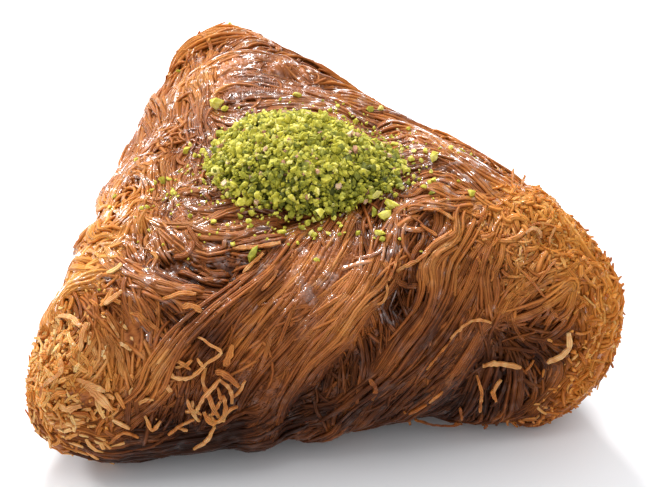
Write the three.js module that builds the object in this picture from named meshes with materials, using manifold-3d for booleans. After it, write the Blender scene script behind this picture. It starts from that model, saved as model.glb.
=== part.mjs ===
// A triangle of shredded pastry: one folded parcel of fine baked strands, soaked in syrup,
// with a small heap of ground pistachio on its top. Millimetres, +Z up. The long front side
// faces -Y, and the origin is at the middle of the flat base.
import * as THREE from "three";
import { mergeVertices } from "three/addons/utils/BufferGeometryUtils.js";
import Module from "manifold-3d";

// ---- Driving dimensions ----

// The sharp corners of the triangle that the rounded plan is drawn in, from the parcel's middle.
const CORNERS = { left: [-39.1, -35.5], right: [53.6, -24.7], back: [-14.5, 60.1] };
// Thickness near each corner, at CORNER_SHARE of the way out to it.
const THICKNESS = { left: 31.5, right: 39.5, back: 39.5 };
const CORNER_SHARE = 0.72;
const PLAN_SHARPNESS = 4.4; // 2 is an oval plan, and a high number a sharp-cornered one
const TOP_SHARPNESS = 2.35; // the same for the way the sides turn into the top
const BASE_SHARPNESS = 3.25; // and into the base
const HALF_THICKNESS = 18; // of the even body, before it is tapered to THICKNESS
const ELEVATION_SCALE = 0.45; // how much the body is flattened, in bearings and elevations
const INSET = 0.7; // the bare body lies this far inside the outline that the strands make
const BASE_CUT = 1.7; // what is taken off below, so that the parcel stands flat
const MIDDLE = [5.6, 8.0]; // the middle of the finished part's box, from the parcel's middle

const CORE_DETAIL = 13; // each face of the icosahedron is split this many times
const BAND_POINTS = 28; // points along a band's middle line
const LUMPS = { height: 0.45, lengths: [26, 29, 31] }; // broad unevenness, and its waves' lengths

const LOCK_WIDTH = [1.5, 2.6]; // a lock is several strands that baked together
const LOCK_LENGTH = [10, 18];
const LOCK_SHARE = 0.8; // of its band's length, at most
const LOCK_ASIDE = [-0.65, 0.65]; // from its band's middle line, in half widths of the band
const LOCK_SWAY = [-0.8, 0.8]; // how far its middle bows sideways
const LOCK_LIFT = 0.1; // how far it stands off, in its own widths
const FLAKE_WIDTH = [0.9, 1.4]; // a flake is a short broken end of strands
const FLAKE_LENGTH = [3.5, 6];
const FLAKE_LIFT = 0.24; // how far its free end stands off, as a share of its length
const FLAKE_SUNK = 0.2; // and its root is sunk
const SIDES = 4; // of the section of a lock or a flake
const STEPS = 4; // along it
const FLATNESS = 0.55; // its height, in widths
const TIP = 0.55; // its width near the tips, as a share of the middle's
const FOOT_CLEARANCE = 1.5; // locks stay this far above the flat base

const HEAP = { at: [2.1, -5.2], radii: [14.2, 10.7], turn: -0.42, height: 6, ripple: 0.05, bumps: 0.35 };
const HEAP_DETAIL = 6;
const HEAP_SUNK = 1.5; // its dome starts this far below the top
const GRAINS = 32;
const GRAIN_HEIGHTS = [0.26, 0.96]; // on the dome, 0 being its foot and 1 its top
const GRAIN_RADIUS = [0.65, 1.15];
const NUT_PROPORTIONS = [1, 0.8, 0.65]; // length, width and height of a grain or crumb
const CRUMBS = 12; // loose pistachio crumbs that lie round the heap
const CRUMB_RADIUS = [0.5, 0.85];
const CRUMB_PLACES = [1.34, 2.14]; // how far out they lie, 1 being the heap's edge
const LOCKS_FROM = 1.28; // and where the locks start
const GAP = 0.3; // between the heap and the pastry under it

// ---- Seeded random numbers ----

let state = 20240611;
function random() {
  state = (state + 0x6d2b79f5) | 0;
  let t = Math.imul(state ^ (state >>> 15), 1 | state);
  t = (t + Math.imul(t ^ (t >>> 7), 61 | t)) ^ t;
  return ((t ^ (t >>> 14)) >>> 0) / 4294967296;
}
const between = ([low, high]) => low + (high - low) * random();

// ---- The bare body: a soft-cornered triangular cushion ----

const cornerList = [CORNERS.left, CORNERS.right, CORNERS.back];
const sides = cornerList.map(([x, y], i) => {
  const [nextX, nextY] = cornerList[(i + 1) % 3];
  const length = Math.hypot(nextX - x, nextY - y);
  const normal = [(nextY - y) / length, (x - nextX) / length];
  return { normal, distance: normal[0] * x + normal[1] * y };
});

// Thickness is a plane over the plan, through the three corners' values.
const thicknessPlane = (() => {
  const rows = cornerList.map(([x, y]) => [x * CORNER_SHARE, y * CORNER_SHARE, 1]);
  const matrix = new THREE.Matrix3().set(...rows[0], ...rows[1], ...rows[2]).invert();
  return new THREE.Vector3(THICKNESS.left, THICKNESS.right, THICKNESS.back).applyMatrix3(matrix);
})();
const thicknessAt = (x, y) => thicknessPlane.x * x + thicknessPlane.y * y + thicknessPlane.z;

// 1 on the plan's outline, less inside and more outside.
const planShare = (x, y) =>
  sides.reduce((sum, s) => {
    const share = Math.max(0, (s.normal[0] * x + s.normal[1] * y) / s.distance);
    return sum + share ** PLAN_SHARPNESS;
  }, 0) ** (1 / PLAN_SHARPNESS);

const sharpness = (z) => (z > 0 ? TOP_SHARPNESS : BASE_SHARPNESS);

// The body's surface in a direction from its middle.
function bodyPoint(u) {
  const power = sharpness(u.z);
  const plan = planShare(u.x, u.y) ** power;
  const reach = (plan + Math.abs(u.z / HALF_THICKNESS) ** power) ** (-1 / power);
  const [x, y, even] = [u.x * reach, u.y * reach, u.z * reach];
  const z = ((even + HALF_THICKNESS) / (2 * HALF_THICKNESS)) * thicknessAt(x, y);
  return new THREE.Vector3(x, y, z);
}

const evenHeight = (p) => (p.z * 2 * HALF_THICKNESS) / thicknessAt(p.x, p.y) - HALF_THICKNESS;

// The direction in which a point lies, so that bodyPoint brings it back onto the surface.
const directionOf = (p) => new THREE.Vector3(p.x, p.y, evenHeight(p)).normalize();

// A bearing in degrees round the parcel, 0 at +X, and an elevation, 0 at the waist and 90 on top.
function directionAt(bearing, elevation) {
  const [b, e] = [bearing, elevation].map(THREE.MathUtils.degToRad);
  const across = Math.cos(e);
  return new THREE.Vector3(
    Math.cos(b) * across,
    Math.sin(b) * across,
    ELEVATION_SCALE * Math.sin(e),
  ).normalize();
}

// The outward normal, from how fast the body's own formula grows along X, Y and Z.
function bodyNormal(p) {
  const level = (q) => {
    const z = evenHeight(q);
    const power = sharpness(z);
    return planShare(q.x, q.y) ** power + Math.abs(z / HALF_THICKNESS) ** power;
  };
  const step = 0.05;
  const slope = ["x", "y", "z"].map((axis) => {
    const [ahead, behind] = [p.clone(), p.clone()];
    ahead[axis] += step;
    behind[axis] -= step;
    return level(ahead) - level(behind);
  });
  return new THREE.Vector3(...slope).normalize();
}

// ---- Bands: where the strip of strands was wrapped over itself ----

// Each band has its middle line as [bearing, elevation] in degrees, its half width and its height.
const FRONT_BANDS = [
  { line: [[-88, 56], [-103, 38], [-112, 20], [-116, 0], [-118, -22]], half: 4.6, raise: 1.2 },
  { line: [[-68, 56], [-82, 44], [-95, 28], [-104, 8], [-110, -30]], half: 5.4, raise: 1.5 },
  { line: [[-46, 52], [-60, 46], [-74, 36], [-85, 20], [-93, -4], [-99, -38]], half: 4.8, raise: 2.1 },
  { line: [[-37, 55], [-45, 46], [-53, 36], [-59, 22], [-68, -2], [-88, -26]], half: 3.6, raise: 1.9 },
  { line: [[-33, 48], [-42, 37], [-50, 26], [-57, 6], [-70, -24], [-84, -40]], half: 4.2, raise: 1.3 },
  { line: [[-31, 42], [-39, 32], [-46, 20], [-53, -2], [-62, -28]], half: 4.0, raise: 1.0 },
  { line: [[-110, 38], [-117, 24], [-122, 6], [-126, -20]], half: 4.2, raise: 0.9 },
  { line: [[-62, 38], [-62, 20], [-60, 2]], half: 3.4, raise: 0.4 },
  { line: [[-78, 14], [-78, -8], [-81, -30]], half: 4.0, raise: 0.3 },
];
// Bands that the front has alone: the wrapped right end, the left end and the top.
const OTHER_BANDS = [
  { line: [[-43, 16], [-37, 24], [-31, 26], [-26, 18]], half: 3.8, raise: 1.2 },
  { line: [[-40, 26], [-33, 38], [-25, 42], [-16, 34]], half: 4.0, raise: 1.2 },
  { line: [[-24, 38], [-22, 22], [-23, 4], [-26, -16], [-32, -34]], half: 4.4, raise: 1.5 },
  { line: [[-146, 34], [-150, 18], [-148, 0], [-140, -26]], half: 4.6, raise: 1.4 },
  { line: [[-134, 34], [-132, 18], [-134, -2]], half: 4.0, raise: 1.0 },
  { line: [[-150, 46], [-142, 46], [-134, 43], [-126, 40]], half: 3.2, raise: 1.5 },
  { line: [[-128, 46], [-118, 43], [-110, 38]], half: 3.0, raise: 1.2 },
  { line: [[178, 40], [-168, 40], [-156, 36], [-148, 26]], half: 4.0, raise: 1.2 },
  { line: [[130, 44], [150, 46], [172, 50], [-166, 52]], half: 4.4, raise: 0.9 },
  { line: [[126, 50], [112, 52], [96, 52], [82, 50]], half: 4.8, raise: 1.0 },
  { line: [[112, 32], [102, 34], [92, 32]], half: 4.6, raise: 1.0 },
  { line: [[74, 48], [50, 52], [24, 50], [2, 42]], half: 4.6, raise: 0.9 },
  { line: [[20, 62], [-4, 58], [-18, 50], [-24, 42]], half: 4.2, raise: 0.8 },
  { line: [[-136, 60], [-116, 58], [-100, 60]], half: 4.2, raise: 0.8 },
];
// Broad swells of the parcel, and hollows between its bands, which have a negative height.
const SWELLS = [
  { at: [-130, -36], radius: 15, height: 1.7 },
  { at: [-110, -40], radius: 14, height: 0.5 },
  { at: [-66, -42], radius: 13, height: 0.8 },
  { at: [-34, -40], radius: 16, height: 1.6 },
  { at: [112, 24], radius: 12, height: 0.9 },
  { at: [-8, 30], radius: 9, height: 0.8 },
  { at: [-168, 36], radius: 15, height: -1.6 },
  { at: [154, 40], radius: 13, height: -1.3 },
  { at: [-150, 16], radius: 12, height: -1.4 },
  { at: [84, 48], radius: 13, height: -1.3 },
  { at: [64, 46], radius: 13, height: -0.9 },
  { at: [44, 44], radius: 13, height: -1.2 },
  { at: [-24, 22], radius: 12, height: -1.4 },
  { at: [-24, -14], radius: 12, height: -1.2 },
  { at: [-88, -20], radius: 6, height: -1.8 },
  { at: [-61, 33], radius: 5, height: -1.4 },
  { at: [-43, 6], radius: 5, height: -1.2 },
];

// The three sides are folds of the same strip, so the two hidden ones repeat the front's bands.
const bearingOf = ([x, y]) => THREE.MathUtils.radToDeg(Math.atan2(y, x));
const [LEFT, RIGHT, BACK] = cornerList.map(bearingOf);
const SIDE_SPANS = [
  [LEFT, RIGHT],
  [RIGHT, BACK],
  [BACK, LEFT + 360],
];
const allBands = [
  ...SIDE_SPANS.flatMap(([from, to]) =>
    FRONT_BANDS.map((band) => ({
      ...band,
      line: band.line.map(([bearing, elevation]) => [
        from + ((bearing - LEFT) / (RIGHT - LEFT)) * (to - from),
        elevation,
      ]),
    })),
  ),
  ...OTHER_BANDS,
].map((band) => {
  const knots = band.line.map(([bearing, elevation]) => bodyPoint(directionAt(bearing, elevation)));
  const curve = new THREE.CatmullRomCurve3(knots, false, "centripetal");
  return { ...band, curve, points: curve.getSpacedPoints(BAND_POINTS) };
});
const swells = SWELLS.map((swell) => ({ ...swell, centre: bodyPoint(directionAt(...swell.at)) }));

// How far the strands stand off the bare body at a point of it: the highest band there, with
// a round crown across each band, and the swells and broad lumps.
function reliefAt(p) {
  let raise = 0;
  for (const band of allBands) {
    const nearest = Math.min(...band.points.map((q) => q.distanceTo(p)));
    const share = 1 - (nearest / band.half) ** 2;
    if (share > 0) raise = Math.max(raise, band.raise * share);
  }
  for (const swell of swells) {
    const share = 1 - (swell.centre.distanceTo(p) / swell.radius) ** 2;
    if (share > 0) raise += swell.height * share * share;
  }
  const [x, y, z] = ["x", "y", "z"].map((axis, i) => (2 * Math.PI * p[axis]) / LUMPS.lengths[i]);
  return raise + LUMPS.height * Math.sin(x + z) * Math.sin(y + 1) - INSET;
}

// The pastry's surface in a direction, with an extra lift above it.
function surfacePoint(u, lift = 0) {
  const p = bodyPoint(u);
  return p.clone().addScaledVector(bodyNormal(p), reliefAt(p) + lift);
}

// ---- Solids ----

const MERGE_WITHIN = 1e-4;
const wasm = await Module();
wasm.setup();

function solidOf(geometry) {
  const merged = mergedShape(geometry);
  return new wasm.Manifold(
    new wasm.Mesh({
      numProp: 3,
      vertProperties: merged.attributes.position.array,
      triVerts: new Uint32Array(merged.index.array),
    }),
  );
}

// The geometry with positions alone, and each place once.
function mergedShape(geometry) {
  geometry.deleteAttribute("normal");
  geometry.deleteAttribute("uv");
  return mergeVertices(geometry, MERGE_WITHIN);
}

function geometryOf(solid) {
  const mesh = solid.getMesh();
  return new THREE.BufferGeometry()
    .setAttribute("position", new THREE.BufferAttribute(mesh.vertProperties, mesh.numProp))
    .setIndex(new THREE.BufferAttribute(mesh.triVerts, 1));
}

// The one body that everything was fused into. Scraps, and hollows that fusing sealed, are left out.
const largest = (solid) =>
  solid.decompose().reduce((best, piece) => (piece.volume() > best.volume() ? piece : best));

// A ball whose every vertex is moved by a function of its direction.
function ballOf(detail, place) {
  const ball = mergedShape(new THREE.IcosahedronGeometry(1, detail));
  const position = ball.attributes.position;
  for (let i = 0; i < position.count; i++) {
    const u = new THREE.Vector3().fromBufferAttribute(position, i).normalize();
    position.setXYZ(i, ...place(u));
  }
  return ball;
}

// The parcel, lifted a little everywhere if asked.
const parcel = (lift = 0) =>
  solidOf(
    ballOf(CORE_DETAIL, (u) => {
      const flattened = new THREE.Vector3(u.x, u.y, u.z * ELEVATION_SCALE).normalize();
      return surfacePoint(flattened, lift);
    }),
  );

// Everything below the cut, so that the parcel stands flat.
const WIDE = 200;
const belowCut = solidOf(new THREE.BoxGeometry(WIDE, WIDE, WIDE).translate(0, 0, BASE_CUT - WIDE / 2));

// A lock or a flake: a flattened tube with pointed ends, on a smooth curve through its points.
function strandSolid(points, width) {
  const curve = new THREE.CatmullRomCurve3(points);
  const rings = Array.from({ length: STEPS + 1 }, (_, i) => {
    const at = curve.getPointAt(i / STEPS);
    const along = curve.getTangentAt(i / STEPS);
    const out = bodyNormal(bodyPoint(directionOf(at)));
    const across = new THREE.Vector3().crossVectors(out, along).normalize();
    const taper = THREE.MathUtils.lerp(TIP, 1, Math.sin((Math.PI * i) / STEPS));
    return Array.from({ length: SIDES }, (_, k) => {
      const angle = ((k + 0.5) / SIDES) * 2 * Math.PI;
      return at
        .clone()
        .addScaledVector(across, (Math.cos(angle) * width * taper) / 2)
        .addScaledVector(out, (Math.sin(angle) * width * taper * FLATNESS) / 2);
    });
  });
  const ends = [points[0], points.at(-1)];
  const triangles = [];
  for (let k = 0; k < SIDES; k++) {
    const next = (k + 1) % SIDES;
    for (let i = 0; i < STEPS; i++) {
      const [here, ahead] = [rings[i], rings[i + 1]];
      triangles.push(here[k], here[next], ahead[next], here[k], ahead[next], ahead[k]);
    }
    triangles.push(ends[0], rings[0][next], rings[0][k], ends[1], rings[STEPS][k], rings[STEPS][next]);
  }
  return solidOf(new THREE.BufferGeometry().setFromPoints(triangles));
}

// ---- What lies where on the top ----

// How far out a plan point is from the heap's middle, 1 being its edge.
const heapTurn = new THREE.Matrix4().makeRotationZ(HEAP.turn);
const heapUnturn = heapTurn.clone().invert();
function heapShare(x, y) {
  const p = new THREE.Vector3(x - HEAP.at[0], y - HEAP.at[1], 0).applyMatrix4(heapUnturn);
  return Math.hypot(p.x / HEAP.radii[0], p.y / HEAP.radii[1]);
}
const clearOfHeap = (p) => p.z < thicknessAt(p.x, p.y) / 2 || heapShare(p.x, p.y) > LOCKS_FROM;
const clearOfBase = (p) => p.z > BASE_CUT + FOOT_CLEARANCE;

// A lock that lies along a part of a band, half sunk in it, or none where it would be in the way.
function bandLock(band) {
  const whole = band.curve.getLength();
  const share = Math.min(between(LOCK_LENGTH) / whole, LOCK_SHARE);
  const start = between([0, 1 - share]);
  const aside = between(LOCK_ASIDE) * band.half;
  const sway = between(LOCK_SWAY);
  const width = between(LOCK_WIDTH);
  const points = [0, 0.25, 0.5, 0.75, 1].map((t) => {
    const at = band.curve.getPointAt(start + t * share);
    const across = bodyNormal(at).cross(band.curve.getTangentAt(start + t * share));
    const u = directionOf(at.addScaledVector(across, aside + sway * Math.sin(Math.PI * t)));
    return surfacePoint(u, width * LOCK_LIFT);
  });
  const clear = points.every((p) => clearOfHeap(p) && clearOfBase(p));
  return clear ? [strandSolid(points, width)] : [];
}

// Short stiff flakes that stand off the two rough ends.
const ROUGH_ENDS = [
  { bearings: [-158, -124], elevations: [-16, 34], count: 11 },
  { bearings: [-34, -14], elevations: [-24, 44], count: 10 },
  { bearings: [92, 116], elevations: [-20, 30], count: 4 },
  { bearings: [-116, -100], elevations: [-14, 18], count: 3 },
];
function flake({ bearings, elevations }) {
  const root = bodyPoint(directionAt(between(bearings), between(elevations)));
  const along = new THREE.Vector3(random() - 0.5, random() - 0.5, random() - 0.5).normalize();
  const length = between(FLAKE_LENGTH);
  const points = [0, 0.5, 1].map((t) => {
    const at = root.clone().addScaledVector(along, t * length);
    return surfacePoint(directionOf(at), t * t * length * FLAKE_LIFT - FLAKE_SUNK);
  });
  return strandSolid(points, between(FLAKE_WIDTH));
}

// One crumb of nut: a stubby lump with flat faces.
function nutSolid(centre, radius) {
  const stretch = NUT_PROPORTIONS.map((share) => radius * share * between([0.85, 1.15]));
  const turn = new THREE.Euler(...NUT_PROPORTIONS.map(() => 2 * Math.PI * random()));
  const ball = new THREE.IcosahedronGeometry(1, 0).scale(...stretch);
  ball.applyMatrix4(new THREE.Matrix4().makeRotationFromEuler(turn));
  return solidOf(ball.translate(...centre));
}

// A crumb beside the heap, thinning out away from it.
function looseCrumb() {
  const angle = random() * 2 * Math.PI;
  const out = THREE.MathUtils.lerp(...CRUMB_PLACES, random() * random());
  const x = HEAP.at[0] + Math.cos(angle) * HEAP.radii[0] * out;
  const y = HEAP.at[1] + Math.sin(angle) * HEAP.radii[1] * out;
  const top = new THREE.Vector3(x, y, thicknessAt(x, y));
  const radius = between(CRUMB_RADIUS);
  return nutSolid(surfacePoint(directionOf(top), radius / 3), radius);
}

// ---- The pastry ----

const toppings = [
  ...allBands.flatMap(bandLock),
  ...ROUGH_ENDS.flatMap((end) => Array.from({ length: end.count }, () => flake(end))),
  ...Array.from({ length: CRUMBS }, looseCrumb),
];
const pastrySolid = largest(wasm.Manifold.union([parcel(), ...toppings]).subtract(belowCut));

// ---- The heap of ground pistachio ----

const heapBase = new THREE.Vector3(...HEAP.at, thicknessAt(...HEAP.at) - HEAP_SUNK);

// The heap's surface in a direction: an oval dome with a wavy edge and grain-sized bumps.
function heapPoint(u) {
  const around = Math.atan2(u.y, u.x);
  const edge = 1 + HEAP.ripple * (Math.sin(3 * around + 1) + 0.6 * Math.sin(5 * around));
  const bump = HEAP.bumps * Math.sin(u.x * 19 + 2) * Math.sin(u.y * 17 + 1);
  return new THREE.Vector3(
    u.x * HEAP.radii[0] * edge,
    u.y * HEAP.radii[1] * edge,
    u.z * (HEAP.height + bump) + (u.z > 0 ? bump : 0),
  )
    .applyMatrix4(heapTurn)
    .add(heapBase);
}

// The grains follow a golden-angle spiral from the heap's foot to its top, which spreads them evenly.
const grains = Array.from({ length: GRAINS }, (_, i) => {
  const height = THREE.MathUtils.lerp(...GRAIN_HEIGHTS, i / (GRAINS - 1));
  const around = i * Math.PI * (3 - Math.sqrt(5));
  const across = Math.sqrt(1 - height * height);
  const u = new THREE.Vector3(Math.cos(around) * across, Math.sin(around) * across, height);
  return nutSolid(heapPoint(u), between(GRAIN_RADIUS));
});
const heapSolid = largest(
  wasm.Manifold.union([solidOf(ballOf(HEAP_DETAIL, heapPoint)), ...grains])
    .subtract(parcel(GAP))
    .subtract(pastrySolid),
);

// ---- The model ----

const pastryMaterial = new THREE.MeshStandardMaterial({ color: 0xa8662f, roughness: 0.38, metalness: 0 });
const pistachioMaterial = new THREE.MeshStandardMaterial({ color: 0xa6b83a, roughness: 0.8, metalness: 0 });

function named(name, solid, material) {
  const mesh = new THREE.Mesh(geometryOf(solid), material);
  mesh.name = name;
  return mesh;
}

const triangle = new THREE.Group();
triangle.add(named("pastry", pastrySolid, pastryMaterial));
triangle.add(named("pistachio_heap", heapSolid, pistachioMaterial));
for (const mesh of triangle.children) mesh.position.set(-MIDDLE[0], -MIDDLE[1], -BASE_CUT);

export default triangle;
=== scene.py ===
"""A triangle of shredded pastry with ground pistachio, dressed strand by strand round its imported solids.

The pastry is a parcel of thousands of baked strands. Its surface is a soft-cornered triangular
cushion with the bands of the wrapping in relief. Strands are laid along the wrapping's sweeps, in
locks, and every one is a closed tube. Lengths inside the maths are millimetres from the parcel's
middle, and each piece is put into its mesh in metres, in the solids' own frame.
"""

import math

import bpy
import numpy as np
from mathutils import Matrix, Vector


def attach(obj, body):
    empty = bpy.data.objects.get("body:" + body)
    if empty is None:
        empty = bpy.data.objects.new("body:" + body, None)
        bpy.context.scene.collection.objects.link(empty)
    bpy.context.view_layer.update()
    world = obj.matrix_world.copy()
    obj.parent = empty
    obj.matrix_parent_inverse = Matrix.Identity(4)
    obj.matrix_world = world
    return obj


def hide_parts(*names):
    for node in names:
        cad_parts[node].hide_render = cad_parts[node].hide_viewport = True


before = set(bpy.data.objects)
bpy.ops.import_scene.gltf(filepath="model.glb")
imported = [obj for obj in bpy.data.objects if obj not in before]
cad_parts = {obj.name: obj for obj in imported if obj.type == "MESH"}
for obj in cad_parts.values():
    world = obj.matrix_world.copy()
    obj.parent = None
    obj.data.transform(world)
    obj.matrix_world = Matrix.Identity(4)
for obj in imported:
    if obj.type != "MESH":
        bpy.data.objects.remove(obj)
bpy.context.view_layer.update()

bl_info = {
    "name": "Kadayif Triangle",
    "version": (1, 0, 0),
    "blender": (4, 5, 0),
    "location": "3D View > Sidebar > Kadayif",
    "description": "Makes a syrup-soaked triangle of shredded pastry with a heap of ground pistachio",
    "category": "Add Mesh",
}

# ---- The parcel's driving dimensions, in millimetres, as in its solids ----

CORNERS = np.array([[-39.1, -35.5], [53.6, -24.7], [-14.5, 60.1]])  # left, right, back
THICKNESS = np.array([31.5, 39.5, 39.5])  # at CORNER_SHARE of the way to each corner
CORNER_SHARE = 0.72
PLAN_SHARPNESS = 4.4
TOP_SHARPNESS = 2.35
BASE_SHARPNESS = 3.25
HALF_THICKNESS = 18.0
ELEVATION_SCALE = 0.45
INSET = 0.7
BASE_CUT = 1.7
MIDDLE = np.array([5.6, 8.0, BASE_CUT])  # the solids' origin, from the parcel's middle
MM = 0.001

# A band of the wrapping: its middle line as (bearing, elevation) in degrees, half width, height.
FRONT_BANDS = [
    ([(-88, 56), (-103, 38), (-112, 20), (-116, 0), (-118, -22)], 4.6, 1.2),
    ([(-68, 56), (-82, 44), (-95, 28), (-104, 8), (-110, -30)], 5.4, 1.5),
    ([(-46, 52), (-60, 46), (-74, 36), (-85, 20), (-93, -4), (-99, -38)], 4.8, 2.1),
    ([(-37, 55), (-45, 46), (-53, 36), (-59, 22), (-68, -2), (-88, -26)], 3.6, 1.9),
    ([(-33, 48), (-42, 37), (-50, 26), (-57, 6), (-70, -24), (-84, -40)], 4.2, 1.3),
    ([(-31, 42), (-39, 32), (-46, 20), (-53, -2), (-62, -28)], 4.0, 1.0),
    ([(-110, 38), (-117, 24), (-122, 6), (-126, -20)], 4.2, 0.9),
    ([(-62, 38), (-62, 20), (-60, 2)], 3.4, 0.4),
    ([(-78, 14), (-78, -8), (-81, -30)], 4.0, 0.3),
]
OTHER_BANDS = [
    ([(-43, 16), (-37, 24), (-31, 26), (-26, 18)], 3.8, 1.2),
    ([(-40, 26), (-33, 38), (-25, 42), (-16, 34)], 4.0, 1.2),
    ([(-24, 38), (-22, 22), (-23, 4), (-26, -16), (-32, -34)], 4.4, 1.5),
    ([(-146, 34), (-150, 18), (-148, 0), (-140, -26)], 4.6, 1.4),
    ([(-134, 34), (-132, 18), (-134, -2)], 4.0, 1.0),
    ([(-150, 46), (-142, 46), (-134, 43), (-126, 40)], 3.2, 1.5),
    ([(-128, 46), (-118, 43), (-110, 38)], 3.0, 1.2),
    ([(178, 40), (-168, 40), (-156, 36), (-148, 26)], 4.0, 1.2),
    ([(130, 44), (150, 46), (172, 50), (-166, 52)], 4.4, 0.9),
    ([(126, 50), (112, 52), (96, 52), (82, 50)], 4.8, 1.0),
    ([(112, 32), (102, 34), (92, 32)], 4.6, 1.0),
    ([(74, 48), (50, 52), (24, 50), (2, 42)], 4.6, 0.9),
    ([(20, 62), (-4, 58), (-18, 50), (-24, 42)], 4.2, 0.8),
    ([(-136, 60), (-116, 58), (-100, 60)], 4.2, 0.8),
]
# Broad swells and hollows: (bearing, elevation), radius, height.
SWELLS = [
    ((-130, -36), 15, 1.7), ((-110, -40), 14, 0.5), ((-66, -42), 13, 0.8), ((-34, -40), 16, 1.6),
    ((112, 24), 12, 0.9), ((-8, 30), 9, 0.8), ((-168, 36), 15, -1.6), ((154, 40), 13, -1.3),
    ((-150, 16), 12, -1.4), ((84, 48), 13, -1.3), ((64, 46), 13, -0.9), ((44, 44), 13, -1.2),
    ((-24, 22), 12, -1.4), ((-24, -14), 12, -1.2), ((-88, -20), 6, -1.8), ((-61, 33), 5, -1.4),
    ((-43, 6), 5, -1.2),
]
LUMP_HEIGHT = 0.45
LUMP_LENGTHS = np.array([26.0, 29.0, 31.0])

# A sweep of combed strands: its middle line as (bearing, elevation), half width at its start and
# its end, how many strands, how far they stand off the relief, and how much paler they are.
FRONT_SWEEPS = [
    ([(-56, 48), (-62, 40), (-71, 34), (-78, 24), (-86, 12), (-91, -9), (-94, -30)],
     1.3, 1.5, 16, 0.55, 0.06),
    ([(-59, 52), (-68, 42), (-78, 32), (-86, 21), (-94, 0), (-99, -34)], 2.2, 2.6, 24, 0.15, 0.0),
    ([(-66, 56), (-75, 46), (-84, 36), (-94, 22), (-102, -2), (-108, -38)], 2.4, 3.0, 26, 0.1, 0.0),
    ([(-75, 59), (-84, 50), (-94, 40), (-102, 26), (-110, 2), (-114, -32)], 2.4, 3.0, 26, 0.1, 0.0),
    ([(-85, 60), (-92, 54), (-102, 45), (-109, 33), (-114, 16), (-118, -20)], 2.2, 2.6, 22, 0.1, 0.0),
    ([(-98, 52), (-108, 42), (-114, 32), (-118, 20), (-120, 8), (-124, -4)], 1.4, 1.7, 18, 0.7, 0.08),
    ([(-134, 34), (-130, 31), (-126, 24), (-124, 14)], 1.1, 1.3, 10, 0.3, 0.02),
    ([(-60, 40), (-60, 32), (-60, 20)], 1.6, 1.6, 12, -0.2, -0.06),
    ([(-66, 36), (-64, 26), (-64, 14)], 1.6, 1.8, 12, -0.1, -0.06),
    ([(-72, 32), (-70, 20), (-68, 6)], 1.6, 1.8, 12, -0.1, -0.08),
    ([(-76, 25), (-74, 11), (-74, -12), (-73, -30)], 1.4, 1.6, 12, -0.1, -0.12),
    ([(-80, 16), (-80, 0), (-80, -16)], 1.4, 1.4, 10, -0.2, -0.2),
    ([(-90, -28), (-83, -23), (-76, -18)], 1.0, 1.0, 8, 0.0, -0.15),
    ([(-34, 50), (-38, 48), (-42, 44), (-48, 43), (-52, 40), (-54, 34), (-58, 26), (-64, 18), (-68, 8)],
     0.9, 1.3, 14, 0.8, 0.08),
    ([(-34, 46), (-40, 43), (-47, 39), (-51, 32), (-56, 24), (-62, 14), (-68, -3), (-77, -22), (-82, -36)],
     1.5, 2.0, 20, 0.4, 0.0),
    ([(-34, 43), (-42, 36), (-48, 28), (-53, 19), (-59, 5), (-66, -12), (-74, -32)],
     1.7, 2.0, 20, 0.2, -0.02),
    ([(-40, 34), (-45, 25), (-50, 13), (-56, -3), (-62, -20), (-68, -40)], 1.7, 2.0, 18, 0.1, -0.04),
    ([(-45, 18), (-48, 4), (-52, -12), (-58, -28), (-60, -44)], 1.5, 1.8, 16, 0.1, -0.12),
    ([(-30, 43), (-37, 38), (-42, 32), (-44, 24), (-45, 15)], 1.2, 1.0, 12, 0.4, 0.02),
    ([(-44, 17), (-40, 23), (-35, 26), (-30, 24)], 1.2, 1.0, 12, 0.3, 0.06),
    ([(-44, 15), (-38, 18), (-34, 20), (-32, 20), (-34, 14), (-36, 11)], 1.0, 1.0, 12, 0.6, 0.06),
    ([(-42, 23), (-38, 28), (-34, 30), (-29, 28)], 1.4, 1.4, 12, 0.1, 0.04),
    ([(-44, 14), (-41, 6), (-38, -2)], 1.2, 1.8, 10, -0.3, -0.2),
    ([(-44, 12), (-42, 0), (-40, -15)], 1.2, 2.0, 10, -0.3, -0.22),
    ([(-45, 10), (-44, -3), (-44, -20)], 1.2, 2.0, 10, -0.3, -0.24),
]
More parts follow.
